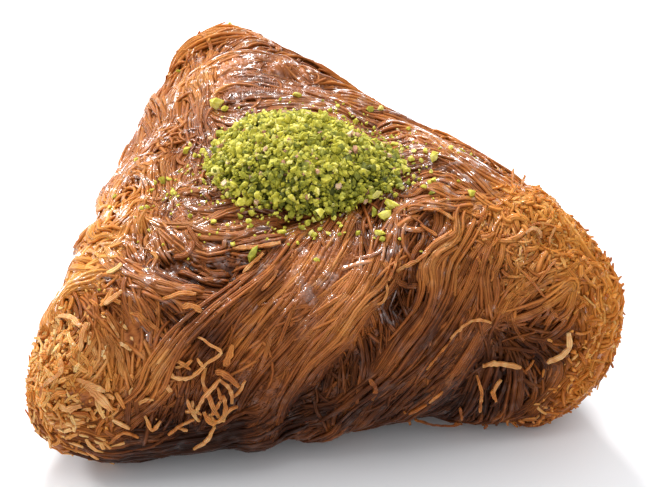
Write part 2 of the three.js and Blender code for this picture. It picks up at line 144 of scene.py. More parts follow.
OTHER_SWEEPS = [
    ([(-136, 46), (-128, 45), (-120, 44), (-113, 44)], 0.9, 0.7, 8, 0.4, 0.1),
    ([(-132, 44), (-126, 44), (-120, 41), (-116, 36)], 1.2, 1.0, 9, 0.3, 0.05),
    ([(-134, 42), (-128, 40), (-122, 34), (-120, 26)], 1.2, 1.2, 10, 0.1, 0.0),
    ([(-142, 22), (-146, 26), (-146, 33), (-142, 40), (-138, 44)], 1.4, 1.2, 14, 0.3, 0.15),
    ([(-148, 31), (-154, 36), (-159, 42), (-168, 46), (-179, 50)], 1.8, 1.8, 16, 0.2, 0.15),
    ([(-144, 43), (-150, 48), (-157, 54), (-169, 58)], 1.8, 1.8, 14, 0.2, 0.08),
    ([(-178, 52), (164, 53), (142, 50), (128, 44), (117, 38)], 1.8, 1.8, 16, 0.2, 0.05),
    ([(-38, 34), (-34, 35), (-30, 34), (-27, 29)], 1.4, 1.4, 12, 0.0, 0.05),
    ([(-22, 44), (-19, 36), (-24, 30), (-26, 21), (-27, 12), (-27, 1), (-29, -8), (-30, -21), (-31, -30),
      (-34, -35)], 1.0, 1.0, 22, -0.1, 0.02),
    ([(-28, 41), (-26, 35), (-28, 27), (-29, 18), (-30, 8), (-30, -4), (-32, -15), (-34, -26)],
     1.3, 1.3, 18, -0.1, 0.02),
    ([(-46, 56), (-42, 54), (-36, 51), (-30, 47)], 1.0, 0.7, 10, 0.5, 0.04),
    ([(-40, 59), (-34, 57), (-32, 52), (-30, 48)], 1.2, 1.0, 11, 0.3, 0.0),
    ([(-32, 61), (-26, 58), (-26, 54), (-28, 50)], 1.3, 1.0, 12, 0.3, 0.02),
    ([(-50, 54), (-44, 58), (-36, 60), (-26, 59)], 1.0, 1.0, 9, 0.1, 0.0),
    ([(18, 70), (17, 63), (6, 58), (-8, 56), (-16, 50), (-19, 45)], 1.6, 1.6, 18, 0.2, 0.1),
    ([(-25, 67), (-17, 64), (-17, 58), (-23, 52)], 1.6, 1.4, 14, 0.1, 0.0),
    ([(110, 51), (103, 53), (95, 54), (88, 56), (80, 61)], 1.8, 1.8, 18, 0.2, 0.04),
    ([(115, 60), (103, 62), (90, 64), (72, 68)], 1.8, 1.8, 18, 0.2, 0.02),
    ([(121, 68), (105, 72), (80, 73), (48, 72), (22, 69)], 1.8, 1.8, 18, 0.1, -0.02),
    ([(110, 34), (104, 36), (98, 34), (94, 38), (90, 48)], 1.2, 1.4, 14, 0.2, 0.12),
    ([(114, 36), (123, 43), (134, 49), (150, 55)], 1.4, 1.6, 13, 0.2, 0.06),
    ([(110, 41), (119, 52), (131, 61), (150, 70)], 1.8, 1.6, 14, 0.2, 0.02),
    ([(162, 70), (-172, 70), (-152, 66), (-138, 62)], 1.6, 1.6, 13, 0.1, -0.02),
    ([(166, 62), (-171, 62), (-152, 58), (-142, 54)], 1.8, 1.8, 14, 0.1, 0.0),
    ([(-144, 56), (-137, 53), (-132, 50)], 1.5, 1.5, 11, 0.2, 0.02),
    ([(-156, 64), (-146, 68), (-131, 70)], 0.9, 0.9, 8, 0.4, 0.02),
    ([(-121, 66), (-111, 70), (-97, 70), (-84, 68)], 1.2, 1.2, 10, 0.2, 0.0),
    ([(-115, 63), (-105, 64), (-92, 66)], 1.2, 1.2, 10, 0.2, 0.0),
    ([(-112, 58), (-102, 60), (-90, 61)], 1.2, 1.2, 10, 0.3, 0.02),
    ([(-134, 58), (-124, 56), (-114, 54)], 1.4, 1.2, 11, 0.2, 0.0),
    ([(-123, 52), (-116, 50), (-108, 50)], 1.2, 1.0, 9, 0.3, 0.04),
    ([(-152, 24), (-161, 27), (-172, 30), (176, 32), (163, 33), (150, 33), (138, 31), (128, 28)],
     2.0, 2.0, 24, 0.15, 0.06),
    ([(-154, 32), (-165, 37), (-179, 40), (164, 40), (150, 38), (138, 35), (127, 31)],
     2.0, 2.0, 24, 0.2, 0.08),
    ([(-150, 39), (-160, 43), (-173, 46), (173, 47), (158, 45), (144, 40), (132, 35)],
     1.8, 1.8, 22, 0.15, 0.06),
]
BASE_SWEEPS = [
    ([(-134, -14), (-127, -17), (-119, -20), (-110, -20), (-102, -17), (-95, -12)],
     1.2, 1.2, 14, 0.1, -0.10),
    ([(-136, -21), (-128, -25), (-119, -27), (-109, -27), (-99, -24), (-90, -20)],
     1.3, 1.5, 16, 0.3, -0.12),
    ([(-138, -29), (-128, -33), (-118, -35), (-106, -35), (-94, -32), (-84, -30)],
     1.6, 1.6, 18, 0.4, -0.12),
]

# Strands that have come loose, and broken flakes: points as (bearing, elevation, lift), then
# width, thickness and tone.
LOOSE_PIECES = [
    ([(-112, 30.5, 0.6), (-109.5, 28, 1.2), (-106.5, 24.5, 1.6), (-109, 21, 1.3), (-110.5, 18, 1.1),
      (-112, 15, 1.0), (-113.5, 14, 1.0), (-115.5, 15, 1.0), (-116.5, 18, 0.8)], 0.46, 0.29, 0.78),
    ([(-111.5, 22.5, 1.2), (-110, 19, 1.4)], 0.45, 0.25, 0.80),
    ([(-109.5, 18, 0.8), (-110, 11.5, 1.1), (-109, 5.5, 1.3), (-108, -3.5, 1.3), (-107, -11, 0.9)],
     0.52, 0.29, 0.74),
    ([(-106.5, 13.5, 1.5), (-108, 10, 1.7), (-110, 4.5, 1.7), (-111, -2, 1.4), (-111.5, -6.5, 1.0)],
     0.46, 0.29, 0.80),
    ([(-112, 0, 0.9), (-112.2, -6, 1.1), (-111, -11.5, 1.2)], 0.52, 0.27, 0.80),
    ([(-107.5, 16, 0.8), (-105.5, 15, 1.2), (-102.5, 8.5, 1.5)], 0.78, 0.30, 0.66),
    ([(-101, 11.5, 1.4), (-102.5, 5.5, 1.5), (-104, 2, 1.2)], 0.38, 0.29, 0.76),
    ([(-106.5, 12.5, 1.2), (-104.5, 8, 1.6), (-104, -1, 1.5)], 0.52, 0.27, 0.80),
    ([(-107, 8.5, 1.0), (-106.5, 1.5, 1.3)], 0.42, 0.27, 0.72),
    ([(-106, 4.5, 1.3), (-105.5, -4, 1.5), (-106.5, -11, 1.4), (-108, -12, 1.2), (-109, -8, 0.9)],
     0.58, 0.29, 0.74),
    ([(-103, -5, 1.2), (-104.5, -5, 1.4), (-106, -9.5, 1.4), (-106, -13.5, 1.1)], 0.46, 0.29, 0.78),
    ([(-110, -6, 1.0), (-109, -11.5, 1.2), (-108, -14.5, 1.2)], 0.72, 0.27, 0.66),
    ([(-108, -15.5, 1.2), (-109.5, -22, 1.3), (-110.5, -25, 1.1), (-113, -29, 0.9)], 0.5, 0.29, 0.78),
    ([(-113.5, -6, 0.8), (-111, -5.5, 1.1)], 0.45, 0.25, 0.68),
    ([(-117, -18, 0.6), (-114.5, -14, 0.9), (-112, -10.5, 1.1)], 0.42, 0.25, 0.72),
    ([(-115, -15.5, 0.7), (-113.4, -17.5, 1.0)], 0.36, 0.24, 0.78),
    ([(-120.5, -6, 0.5), (-119.5, -13, 1.0), (-118, -8.5, 0.9)], 0.5, 0.25, 0.80),
    ([(-117.5, 12.5, 0.6), (-116.5, 10, 0.9), (-116, 7.5, 0.8)], 0.6, 0.25, 0.74),
    ([(-105.5, 18, 0.5), (-104.5, 23, 0.8), (-104, 27, 0.6)], 0.88, 0.25, 0.63),
    ([(-116, 21.5, 0.4), (-114.5, 21, 0.8), (-112.5, 17.5, 0.8)], 0.5, 0.22, 0.70),
    ([(-115.5, 18.5, 0.5), (-113.5, 20, 0.8), (-112.5, 21.5, 0.6)], 0.42, 0.22, 0.66),
    ([(-110.5, -8, 0.9), (-112.5, -3.5, 1.2), (-113, 2, 0.8)], 0.46, 0.25, 0.72),
    ([(-105.5, 2.5, 1.0), (-107.5, -3, 1.3), (-108.5, -9, 1.0)], 0.5, 0.25, 0.68),
    ([(-126.5, -18, 0.4), (-124, -12.5, 0.8), (-122, -17.5, 0.5)], 0.43, 0.25, 0.68),
    ([(-125.5, -5.5, 0.6), (-123, -11, 0.8)], 0.5, 0.25, 0.81),
    ([(-122, 41, 0.7), (-118.5, 43, 0.9), (-115, 43.5, 0.8)], 0.5, 0.25, 0.68),
    ([(-142.5, 28, 0.8), (-138.5, 31, 1.0), (-134.5, 30, 0.7)], 0.72, 0.25, 0.85),
    ([(-133.5, 31.5, 0.9), (-133, 28.5, 1.1), (-132, 23.5, 0.6)], 0.65, 0.25, 0.81),
    ([(-133, 37, 0.8), (-130.5, 40.5, 1.1)], 0.65, 0.25, 0.85),
    ([(-131, 34.5, 0.6), (-127, 29.5, 0.7)], 0.42, 0.22, 0.74),
    ([(-126.5, 28, 0.6), (-124, 25.5, 0.8)], 0.52, 0.25, 0.88),
    ([(-134.5, -12, 0.6), (-129.5, -7, 0.8)], 0.65, 0.25, 0.77),
    ([(-136, 8.5, 0.8), (-133.5, 15.5, 1.0), (-134.5, 19.5, 0.7)], 0.58, 0.25, 0.85),
    ([(-131, 14, 0.7), (-128.5, 12, 1.0), (-126.5, 9, 0.9)], 0.65, 0.25, 0.89),
    ([(-125, 36, 0.3), (-120.5, 32.5, 0.5), (-116, 25.5, 0.4)], 0.58, 0.25, 0.59),
    ([(-52.5, 13.5, 0.4), (-49.5, 18, 0.9), (-47, 19, 1.2), (-45, 16, 0.6)], 0.36, 0.29, 0.77),
    ([(-57.5, 0, 0.3), (-55, 8, 0.5), (-52, 13.5, 0.4)], 0.32, 0.25, 0.59),
    ([(-34.5, 4.5, 0.6), (-34.5, -1.5, 1.0), (-35.5, -4.5, 1.2), (-37, -7.5, 1.0)], 0.79, 0.29, 0.85),
    ([(-46.5, -5.5, 0.8), (-44, -5.5, 1.0), (-40.5, -9, 0.7)], 0.65, 0.29, 0.77),
    ([(-47.5, -10, 0.6), (-46.5, -18, 0.8), (-45.5, -29, 0.4)], 0.43, 0.25, 0.59),
    ([(-43.5, -13.5, 0.7), (-44.5, -18.5, 0.9), (-43.5, -23.5, 0.6)], 0.58, 0.25, 0.72),
    ([(-56.5, -21, 0.5), (-54, -14.5, 0.6)], 0.43, 0.25, 0.59),
    ([(-49.5, -27, 0.5), (-47.5, -34.5, 0.6)], 0.43, 0.25, 0.55),
    ([(-32, 36.5, 0.6), (-30.5, 36.5, 1.1), (-30, 35, 1.2), (-30.5, 34, 0.9)], 0.58, 0.25, 0.81),
    ([(-30.5, 37.5, 0.5), (-28, 36, 0.8), (-27, 33.5, 0.8)], 0.36, 0.25, 0.64),
    ([(-27, 33.5, 0.9), (-29, 33, 1.2), (-30.5, 31.5, 0.8)], 0.36, 0.25, 0.68),
    ([(-37.5, 32, 0.5), (-37, 26, 0.9), (-36.5, 19.5, 0.7)], 0.32, 0.25, 0.64),
    ([(-36.5, 24.5, 0.5), (-34.5, 26.5, 0.9), (-32, 28, 0.7)], 0.36, 0.25, 0.61),
    ([(-43.5, 53.5, 0.5), (-40.5, 51, 0.9), (-39.5, 47.5, 0.7)], 0.4, 0.25, 0.72),
    ([(-47, 50.5, 0.5), (-46, 48, 0.8), (-45.5, 46.5, 0.6)], 0.4, 0.25, 0.72),
    ([(-49.5, 43.5, 0.5), (-52, 43, 0.9), (-55.5, 43, 0.9), (-59, 42, 0.6)], 0.36, 0.25, 0.68),
    ([(-10, 40.5, 1.6), (-19, 43.5, 0.3)], 0.36, 0.25, 0.72),
    ([(-11.5, 38, 1.6), (-19.5, 42, 0.3)], 0.36, 0.25, 0.72),
    ([(-62.5, 41, 0.4), (-63, 37.5, 1.2), (-65, 34.5, 1.2), (-67.5, 34.5, 0.6)], 0.36, 0.29, 0.68),
    ([(-56.5, 47, 0.5), (-59.5, 43, 0.9), (-62, 40.5, 0.9)], 0.36, 0.29, 0.64),
    ([(-59, 42.5, 0.6), (-53.5, 43, 1.0), (-49.5, 43.5, 1.2)], 0.43, 0.25, 0.68),
    ([(-61.5, -25.5, 0.5), (-56, -44, 0.8)], 0.43, 0.25, 0.51),
    ([(-60.5, -27.5, 0.5), (-57, -21.5, 0.6)], 0.43, 0.25, 0.53),
    ([(-104.5, 51.5, 0.5), (-102, 53.5, 0.9), (-98.5, 56, 1.0)], 0.5, 0.25, 0.81),
    ([(-110, 57.5, 0.3), (-102, 58, 0.6), (-92.5, 58.5, 0.7)], 0.58, 0.29, 0.77),
    ([(-92.5, 52.5, 0.3), (-94.5, 49, 0.5), (-98, 45.5, 0.4)], 0.43, 0.25, 0.59),
    ([(-70.5, 0, 0.4), (-69, -6, 0.7), (-69.5, -16.5, 0.4)], 0.58, 0.25, 0.47),
    ([(-129.5, 11.5, 0.5), (-127.5, 6.5, 0.9), (-125.5, -0.5, 0.6)], 1.1, 0.25, 0.85),
    ([(-117, 39.5, 0.5), (-115, 40, 0.9), (-112.5, 38.5, 0.6)], 0.8, 0.25, 0.66),
    ([(-127.5, 37, 0.3), (-125, 36, 0.6), (-122, 32.5, 0.4)], 0.8, 0.22, 0.60),
    ([(-133.5, 2, 0.4), (-132, 0.5, 0.8), (-130, 2, 0.6)], 0.9, 0.25, 0.85),
    ([(-56, -40.5, 0.3), (-51.5, -42.5, 0.9), (-47.5, -42, 1.0), (-44.5, -41, 0.5)], 0.45, 0.30, 0.46),
    ([(-45.8, -40, 0.4), (-45.5, -43, 1.0)], 0.9, 0.25, 0.50),
    ([(-41, -38, 0.5), (-39.5, -41, 1.0)], 0.4, 0.25, 0.55),
]

# The heap of ground pistachio: an oval dome, turned clockwise.
HEAP_AT = np.array([2.1, -5.2])
HEAP_RADII = np.array([14.2, 10.7])
HEAP_TURN = -0.42
HEAP_HEIGHT = 6.0
HEAP_RIPPLE = 0.05
HEAP_BUMPS = 0.35
HEAP_SUNK = 1.5

# Nut crumbs that lie apart: bearing, elevation and size in millimetres.
CRUMBS = [
    (-102, 56, 1.7), (170, 68, 1.3), (-168, 63, 1.3), (-122, 63, 1.0), (178, 73, 0.8), (-92, 62, 1.3),
    (-80, 61, 1.1), (-79, 60, 1.0), (-64, 56, 1.1), (-58, 54, 1.3), (-58, 52, 0.9), (-35, 60, 1.3),
    (-21, 64, 1.3), (-32, 57, 1.3), (-30, 50, 1.5), (-8, 70, 0.9), (38, 65, 1.2), (36, 62, 1.2),
    (50, 72, 0.7), (82, 72, 1.4), (94, 74, 0.8), (130, 67, 1.8), (130, 70, 1.5), (102, 32, 0.9),
    (-52, 58, 1.9), (-47, 59, 1.7), (-54, 60, 1.5), (-108, 65, 0.9), (-102, 66, 0.8), (-113, 66, 0.8),
    (-158, 44, 0.8), (-168, 48, 0.8), (169, 54, 0.8), (-170, 61, 0.7), (-173, 49, 0.7), (118, 36, 0.7),
    (-37, 55, 0.7), (-36, 52, 0.6), (-74, 59, 0.7), (-86, 58, 0.6), (-98, 60, 0.8), (-25, 54, 0.7),
    (-14, 59, 0.7), (-20, 62, 0.7), (-13, 66, 0.8), (-8, 68, 0.9),
]

# How brown or golden the strands are: 0 is soaked dark brown, 0.5 amber brown and 1 pale gold.
# Places that differ from the rest: (bearing, elevation), radius in millimetres, and by how much. Some are
# the pastry's own browner or paler patches; the darker ones in hollows, crevices, under lips and loose
# strands and low on the front are painted shade.
TONE_AND_SHADE_PLACES = [
    ((-140, 10), 13, 0.06), ((-150, 40), 13, 0.08), ((-25, 5), 8, 0.10), ((-20, 30), 11, 0.08),
    ((100, 20), 14, 0.06), ((-42, -16), 9, -0.14), ((-62, -25), 13, -0.10), ((-95, -30), 14, -0.08),
    ((-62, 20), 6, -0.12), ((-56, 33), 3.5, -0.20), ((-60, 47), 3, -0.08), ((-76, -4), 4, -0.12),
    ((-128, 14), 8, 0.08), ((-135, 35), 5, -0.26), ((-88, 37), 7, -0.03), ((-103, 4), 8, -0.04),
    ((-30, 55), 7, -0.04), ((-37, 21), 5, -0.03), ((-122, 43), 6, -0.14), ((-128, 33), 5, 0.14),
    ((-127, 14), 5, 0.05), ((-135, 12), 1.8, -0.24), ((-131, 5), 2.0, -0.26),
    ((-135, 0), 2.2, -0.16), ((-127.5, 6), 2.4, 0.12), ((-34, 0), 4, -0.12), ((120, 48), 8, 0.05),
    ((-60, -20), 10, -0.05), ((-96, 60), 9, -0.06), ((-18, 58), 9, -0.06), ((102, 61), 8, -0.10),
    ((-27, 2), 6, 0.10), ((-30, -22), 6, 0.12), ((-22, 34), 6, 0.06), ((-122, -26), 8, -0.19),
    ((-106, -27), 9, -0.14), ((-108.5, 31), 3, -0.16), ((-112.5, 24), 3.5, -0.14),
]
# Places where the strands are orange gold: partly their own colour, partly a painted glow of light coming
# through them from behind.
GOLD_AND_GLOW_PLACES = [
    ((-150, 36), 9, 0.9), ((-168, 46), 9, 0.8), ((158, 46), 9, 0.5), ((-20, 38), 10, 0.8),
    ((-26, 18), 9, 0.6), ((-27, -2), 8, 0.5), ((-31, -20), 7, 0.6), ((4, 58), 8, 0.4),
    ((104, 34), 9, 0.5), ((60, 40), 16, 0.4), ((120, 48), 9, 0.5), ((-133, 5), 9, 0.40),
    ((-142, -2), 7, 0.45),
]

# Places where syrup has fused the strands into a sheet: (bearing, elevation), radius, how much.
SHEET_PLACES = [
    ((104, 60), 8, 1.3), ((88, 65), 6, 1.0), ((-82, 52), 5, 0.5), ((-71, 53), 5, 0.5),
    ((-85, 42), 5, 0.4), ((-90, 22), 13, 0.35), ((-4, 67), 5, 1.1), ((-18, 59), 5, 0.8),
    ((-134, 64), 4, 1.0), ((-108, 64), 4, 0.6), ((178, 74), 4, 0.9), ((150, 62), 5, 0.7),
    ((-130, 8), 4, 0.8), ((-141, 0), 5, 0.6), ((-136, -16), 4, 0.5), ((-125, 33), 5, 0.8),
    ((-102, -4), 10, 0.35), ((-62, 10), 10, 0.3), ((-150, 50), 4, 0.8), ((30, 20), 9, 0.8),
    ((160, 10), 9, 0.8), ((50, 60), 7, 0.8), ((-22, 34), 4, 0.7), ((-24, 22), 4, 0.5),
    ((-25, 8), 4, 0.6), ((-28, -4), 4, 0.5), ((-30, -16), 4, 0.6), ((-32, -28), 4, 0.5),
]

# Patches of the fused surface: bearings, elevations, columns and rows of points.
FUSED_PATCHES = [
    ("fused_front", (-152, -12), (-52, 44), 440, 180),
    ("fused_right", (-24, 108), (-52, 44), 330, 130),
    ("fused_left", (98, 218), (-52, 44), 330, 130),
    ("fused_top_left", (58, 206), (38, 89.5), 330, 220),
    ("fused_top_right", (-62, 64), (38, 89.5), 300, 180),
    ("fused_top_front", (-160, -56), (38, 89.5), 300, 180),
]

# The camera: its target and distance in parcel millimetres, and its elevation in degrees.
CAMERA_TARGET = np.array([0.0, 0.0, 18.0])
CAMERA_ELEVATION = 33.72
CAMERA_DISTANCE = 272.2
CAMERA_LENS = 100.0
PHOTO_WIDTH = 660
PHOTO_OFFSET = (42.4, 5.0)  # pixels from the parcel's middle to the picture's, right and up


# ---- The bare body ----

EDGES = np.roll(CORNERS, -1, axis=0) - CORNERS
EDGE_NORMALS = np.stack([EDGES[:, 1], -EDGES[:, 0]], axis=1) / np.linalg.norm(EDGES, axis=1)[:, None]
EDGE_DISTANCES = (EDGE_NORMALS * CORNERS).sum(axis=1)
THICKNESS_PLANE = np.linalg.solve(np.column_stack([CORNERS * CORNER_SHARE, np.ones(3)]), THICKNESS)
SLOPE_STEP = 0.05  # millimetres to both sides of a point


def unit(vectors):
    """Vectors divided by their lengths."""
    return vectors / np.maximum(np.linalg.norm(vectors, axis=-1, keepdims=True), 1e-9)


def thickness_at(plan):
    """The parcel's thickness over plan points: a plane through the three corners' values."""
    return plan[..., 0] * THICKNESS_PLANE[0] + plan[..., 1] * THICKNESS_PLANE[1] + THICKNESS_PLANE[2]


def plan_share(plan):
    """1 on the plan's outline: the power mean of how far out a point is towards each side."""
    shares = np.maximum(plan @ EDGE_NORMALS.T / EDGE_DISTANCES, 1e-6)
    return (shares**PLAN_SHARPNESS).sum(axis=-1) ** (1 / PLAN_SHARPNESS)


def body_point(directions):
    """The body's surface in directions from its middle: the plan's share and the height's share,
    each raised to the edge's sharpness, add up to 1. The even body is then tapered in height."""
    power = np.where(directions[..., 2] > 0, TOP_SHARPNESS, BASE_SHARPNESS)
    rise = np.abs(directions[..., 2] / HALF_THICKNESS)
    reach = (plan_share(directions[..., :2]) ** power + rise**power) ** (-1 / power)
    points = directions * reach[..., None]
    height = (points[..., 2] + HALF_THICKNESS) / (2 * HALF_THICKNESS)
    points[..., 2] = height * thickness_at(points)
    return points


def even_height(points):
    """The height a point would have on the even body."""
    return points[..., 2] * 2 * HALF_THICKNESS / thickness_at(points) - HALF_THICKNESS


def direction_of(points):
    """The directions in which points lie, which body_point brings back onto the surface."""
    return unit(np.stack([points[..., 0], points[..., 1], even_height(points)], axis=-1))


def direction_at(bearing, elevation):
    """Directions for bearings round the parcel and elevations above its waist, in degrees."""
    b, e = np.radians(bearing), np.radians(elevation)
    return unit(np.stack([np.cos(b) * np.cos(e), np.sin(b) * np.cos(e), ELEVATION_SCALE * np.sin(e)], -1))


def place_of(directions):
    """The bearing and elevation of directions, in degrees."""
    across = np.hypot(directions[..., 0], directions[..., 1])
    bearing = np.degrees(np.arctan2(directions[..., 1], directions[..., 0]))
    return bearing, np.degrees(np.arctan2(directions[..., 2] / ELEVATION_SCALE, across))


def body_normal(points):
    """Outward normals, from how fast the body's own formula grows along X, Y and Z."""

    def level(p):
        height = even_height(p)
        power = np.where(height > 0, TOP_SHARPNESS, BASE_SHARPNESS)
        return plan_share(p[..., :2]) ** power + np.abs(height / HALF_THICKNESS) ** power

    steps = np.eye(3) * SLOPE_STEP
    slopes = [level(points + step) - level(points - step) for step in steps]
    return unit(np.stack(slopes, axis=-1))


def tangent_to(vectors, normals):
    """Unit vectors with the part along the normals taken away."""
    return unit(vectors - (vectors * normals).sum(-1, keepdims=True) * normals)


# ---- Lines on the body ----


def curve_at(knots, share):
    """Points of a Catmull-Rom curve through the knots, at shares of its way from 0 to 1."""
    ends = np.vstack([2 * knots[0] - knots[1], knots, 2 * knots[-1] - knots[-2]])
    t = np.clip(share, 0, 1) * (len(knots) - 1)
    i = np.minimum(t.astype(int), len(knots) - 2)
    f = (t - i)[..., None]
    a, b, c, d = ends[i], ends[i + 1], ends[i + 2], ends[i + 3]
    return 0.5 * (2 * b + (c - a) * f + (2 * a - 5 * b + 4 * c - d) * f**2 + (3 * b - a - 3 * c + d) * f**3)


def line_on_body(line, count):
    """Points along a smooth line on the bare body, with no jump of a whole turn between knots."""
    places = np.array(line, float)
    places[:, 0] = np.degrees(np.unwrap(np.radians(places[:, 0])))
    return body_point(direction_at(*curve_at(places, np.linspace(0, 1, count)).T))


def on_all_sides(rows):
    """The rows for the front, and again for the two hidden sides, which are folds of the same
    strip: a bearing keeps its share of the way from one corner to the next."""
    left, right, back = np.degrees(np.arctan2(CORNERS[:, 1], CORNERS[:, 0]))
    sides = []
    for start, stop in ((left, right), (right, back), (back, left + 360)):
        turn = (stop - start) / (right - left)
        sides.append([([(start + (b - left) * turn, e) for b, e in line], *rest) for line, *rest in rows])
    return sides


# ---- The wrapping, worked out once over a grid of bearings and elevations ----

GRID_BEARINGS = 480
GRID_ELEVATIONS = 160
BAND_POINTS = 60
SWEEP_POINTS = 30
BAND_CROWN = 2.6  # 2 is a round crown, and a higher number a flatter one with steeper sides
GRID_CHUNK = 4000
FLOW_REACH = 3.0  # within this distance, in millimetres, a line's own direction rules
FLOW_SOFTNESS = 0.2  # the higher, the more evenly near lines count
FLOW_FADE = 3  # the power with which a line counts less beyond its reach
BAND_TRUST = 0.15  # how much a band's direction counts against a sweep's
STREAK_CELLS = 500  # of the streaks' random field, from the bottom to the top
STREAK_STEPS = 9
STREAK_STEP = 0.35  # millimetres
BASE_GAP = 0.25  # from the base to the lowest strands' middle lines


def nearest_on(lines, points):
    """For each point and line: the distance to the line's nearest point, and that point's place."""
    flat = lines.reshape(-1, 3)
    squares = (points**2).sum(1)[:, None] + (flat**2).sum(1) - 2 * points @ flat.T
    squares = squares.reshape(len(points), len(lines), -1)
    nearest = squares.argmin(axis=2)
    least = np.take_along_axis(squares, nearest[..., None], 2)[..., 0]
    return np.sqrt(np.maximum(least, 0)), nearest


class Wrapping:
    """The relief and the strands' direction on the parcel, over a grid of directions."""

    def __init__(self):
        bands = [row for side in on_all_sides(FRONT_BANDS) for row in side] + OTHER_BANDS
        self.bands = np.stack([line_on_body(row[0], BAND_POINTS) for row in bands])
        self.band_half = np.array([row[1] for row in bands])
        self.band_height = np.array([row[2] for row in bands])
        sweeps = [row for side in on_all_sides(FRONT_SWEEPS) for row in side]
        sweeps += OTHER_SWEEPS + BASE_SWEEPS
        guides = [line_on_body(row[0], SWEEP_POINTS) for row in sweeps]
        guides += [band[:: BAND_POINTS // SWEEP_POINTS] for band in self.bands]
        self.guides = np.stack(guides)
        self.guide_trust = np.array([1.0] * len(sweeps) + [BAND_TRUST] * len(bands))
        self.swells = [(body_point(direction_at(*at)), radius, height) for at, radius, height in SWELLS]
        bearings = (np.arange(GRID_BEARINGS) + 0.5) * 360 / GRID_BEARINGS - 180
        elevations = (np.arange(GRID_ELEVATIONS) + 0.5) * 180 / GRID_ELEVATIONS - 90
        self.directions = direction_at(*np.meshgrid(bearings, elevations)).reshape(-1, 3)
        self.points = body_point(self.directions)
        self.normals = body_normal(self.points)
        chunks = [slice(i, i + GRID_CHUNK) for i in range(0, len(self.points), GRID_CHUNK)]
        self.raised = np.concatenate([self.relief_of(self.points[c]) for c in chunks])
        self.flow = np.concatenate([self.flow_of(self.points[c], self.normals[c]) for c in chunks])
        self.areas = self.cell_areas()

    def relief_of(self, points):
        """How far the wrapping stands off the bare body at points."""
        distance, _ = nearest_on(self.bands, points)
        share = np.clip(1 - (distance / self.band_half) ** BAND_CROWN, 0, 1)
        relief = (self.band_height * share).max(axis=1)
        for centre, radius, height in self.swells:
            share = np.clip(1 - ((points - centre) ** 2).sum(1) / radius**2, 0, 1)
            relief = relief + height * share**2
        waves = 2 * math.pi * points / LUMP_LENGTHS
        relief += LUMP_HEIGHT * np.sin(waves[:, 0] + waves[:, 2]) * np.sin(waves[:, 1] + 1)
        return relief - INSET

    def flow_of(self, points, normals):
        """Which way the strands run at points: every guide's direction counts by its nearness, and
        the sum's main axis is taken, as strands have no sign."""
        distance, nearest = nearest_on(self.guides, points)
        tangents = unit(np.gradient(self.guides, axis=1))[np.arange(len(self.guides))[None], nearest]
        tangents = tangent_to(tangents, normals[:, None])
        weight = self.guide_trust / (FLOW_SOFTNESS + (distance / FLOW_REACH) ** 2) ** FLOW_FADE
        tensor = np.einsum("pb,pbi,pbj->pij", weight, tangents, tangents)
        return np.linalg.eigh(tensor)[1][..., 2]

    def cell_areas(self):
        """The area of surface that each grid cell covers, in square millimetres."""
        grid = self.points.reshape(GRID_ELEVATIONS, GRID_BEARINGS, 3)
        along = (np.roll(grid, -1, axis=1) - np.roll(grid, 1, axis=1)) / 2
        up = np.gradient(grid, axis=0)
        return np.linalg.norm(np.cross(along, up), axis=-1).ravel()

    def cell(self, directions):
        """Where directions lie in the grid, as fractional row and column."""
        bearing, elevation = place_of(directions)
        column = (bearing + 180) * GRID_BEARINGS / 360 - 0.5
        row = np.clip((elevation + 90) * GRID_ELEVATIONS / 180 - 0.5, 0, GRID_ELEVATIONS - 1.001)
        return row, column

    def relief(self, directions):
        """The relief in directions, between the grid's values."""
        row, column = self.cell(directions)
        r, c = np.floor(row).astype(int), np.floor(column).astype(int)
        fr, fc = row - r, column - c
        grid = self.raised.reshape(GRID_ELEVATIONS, GRID_BEARINGS)
        left, right = c % GRID_BEARINGS, (c + 1) % GRID_BEARINGS
        low = grid[r, left] * (1 - fc) + grid[r, right] * fc
        high = grid[r + 1, left] * (1 - fc) + grid[r + 1, right] * fc
        return low * (1 - fr) + high * fr

    def flow_in(self, directions, previous):
        """Which way the strands run in directions, kept in line with the previous step."""
        row, column = self.cell(directions)
        r = np.round(row).astype(int)
        c = np.round(column).astype(int) % GRID_BEARINGS
        flow = self.flow.reshape(GRID_ELEVATIONS, GRID_BEARINGS, 3)[r, c]
        return flow * np.where((flow * previous).sum(-1, keepdims=True) < 0, -1, 1)

    def streaks(self, directions, rng):
        """Noise smeared along the strands' direction: the mean of a fine random field over a short
        way both forwards and back, with a mean of 0 and a spread of 1."""
        field = rng.normal(0, 1, (STREAK_CELLS, 2 * STREAK_CELLS))
        field = field + np.roll(field, 1, axis=0)
        field = field + np.roll(field, 1, axis=1)
        total = np.zeros(len(directions))
        for sense in (1, -1):
            points = body_point(directions)
            heading = sense * self.flow_in(directions, np.ones(3))
            for _ in range(STREAK_STEPS):
                at = direction_of(points)
                bearing, elevation = place_of(at)
                row = ((elevation + 90) / 180 * (STREAK_CELLS - 1)).astype(int)
                total += field[row, ((bearing + 180) / 360 * (2 * STREAK_CELLS - 1)).astype(int)]
                heading = self.flow_in(at, heading)
                points = body_point(direction_of(points + heading * STREAK_STEP))
        return (total - total.mean()) / total.std()

    def surface(self, directions, lift):
        """Points that stand off the relief by lift, pressed flat at the base, and their normals."""
        points = body_point(directions)
        normals = body_normal(points)
        points = points + normals * (self.relief(directions) + lift)[..., None]
        points[..., 2] = np.maximum(points[..., 2], BASE_CUT + BASE_GAP)
        return points, normals


_wrapping = {}


def wrapping():
    """The parcel's relief and strand directions, worked out at the first use."""
    if not _wrapping:
        _wrapping["parcel"] = Wrapping()
    return _wrapping["parcel"]


# ---- Tones over the surface ----

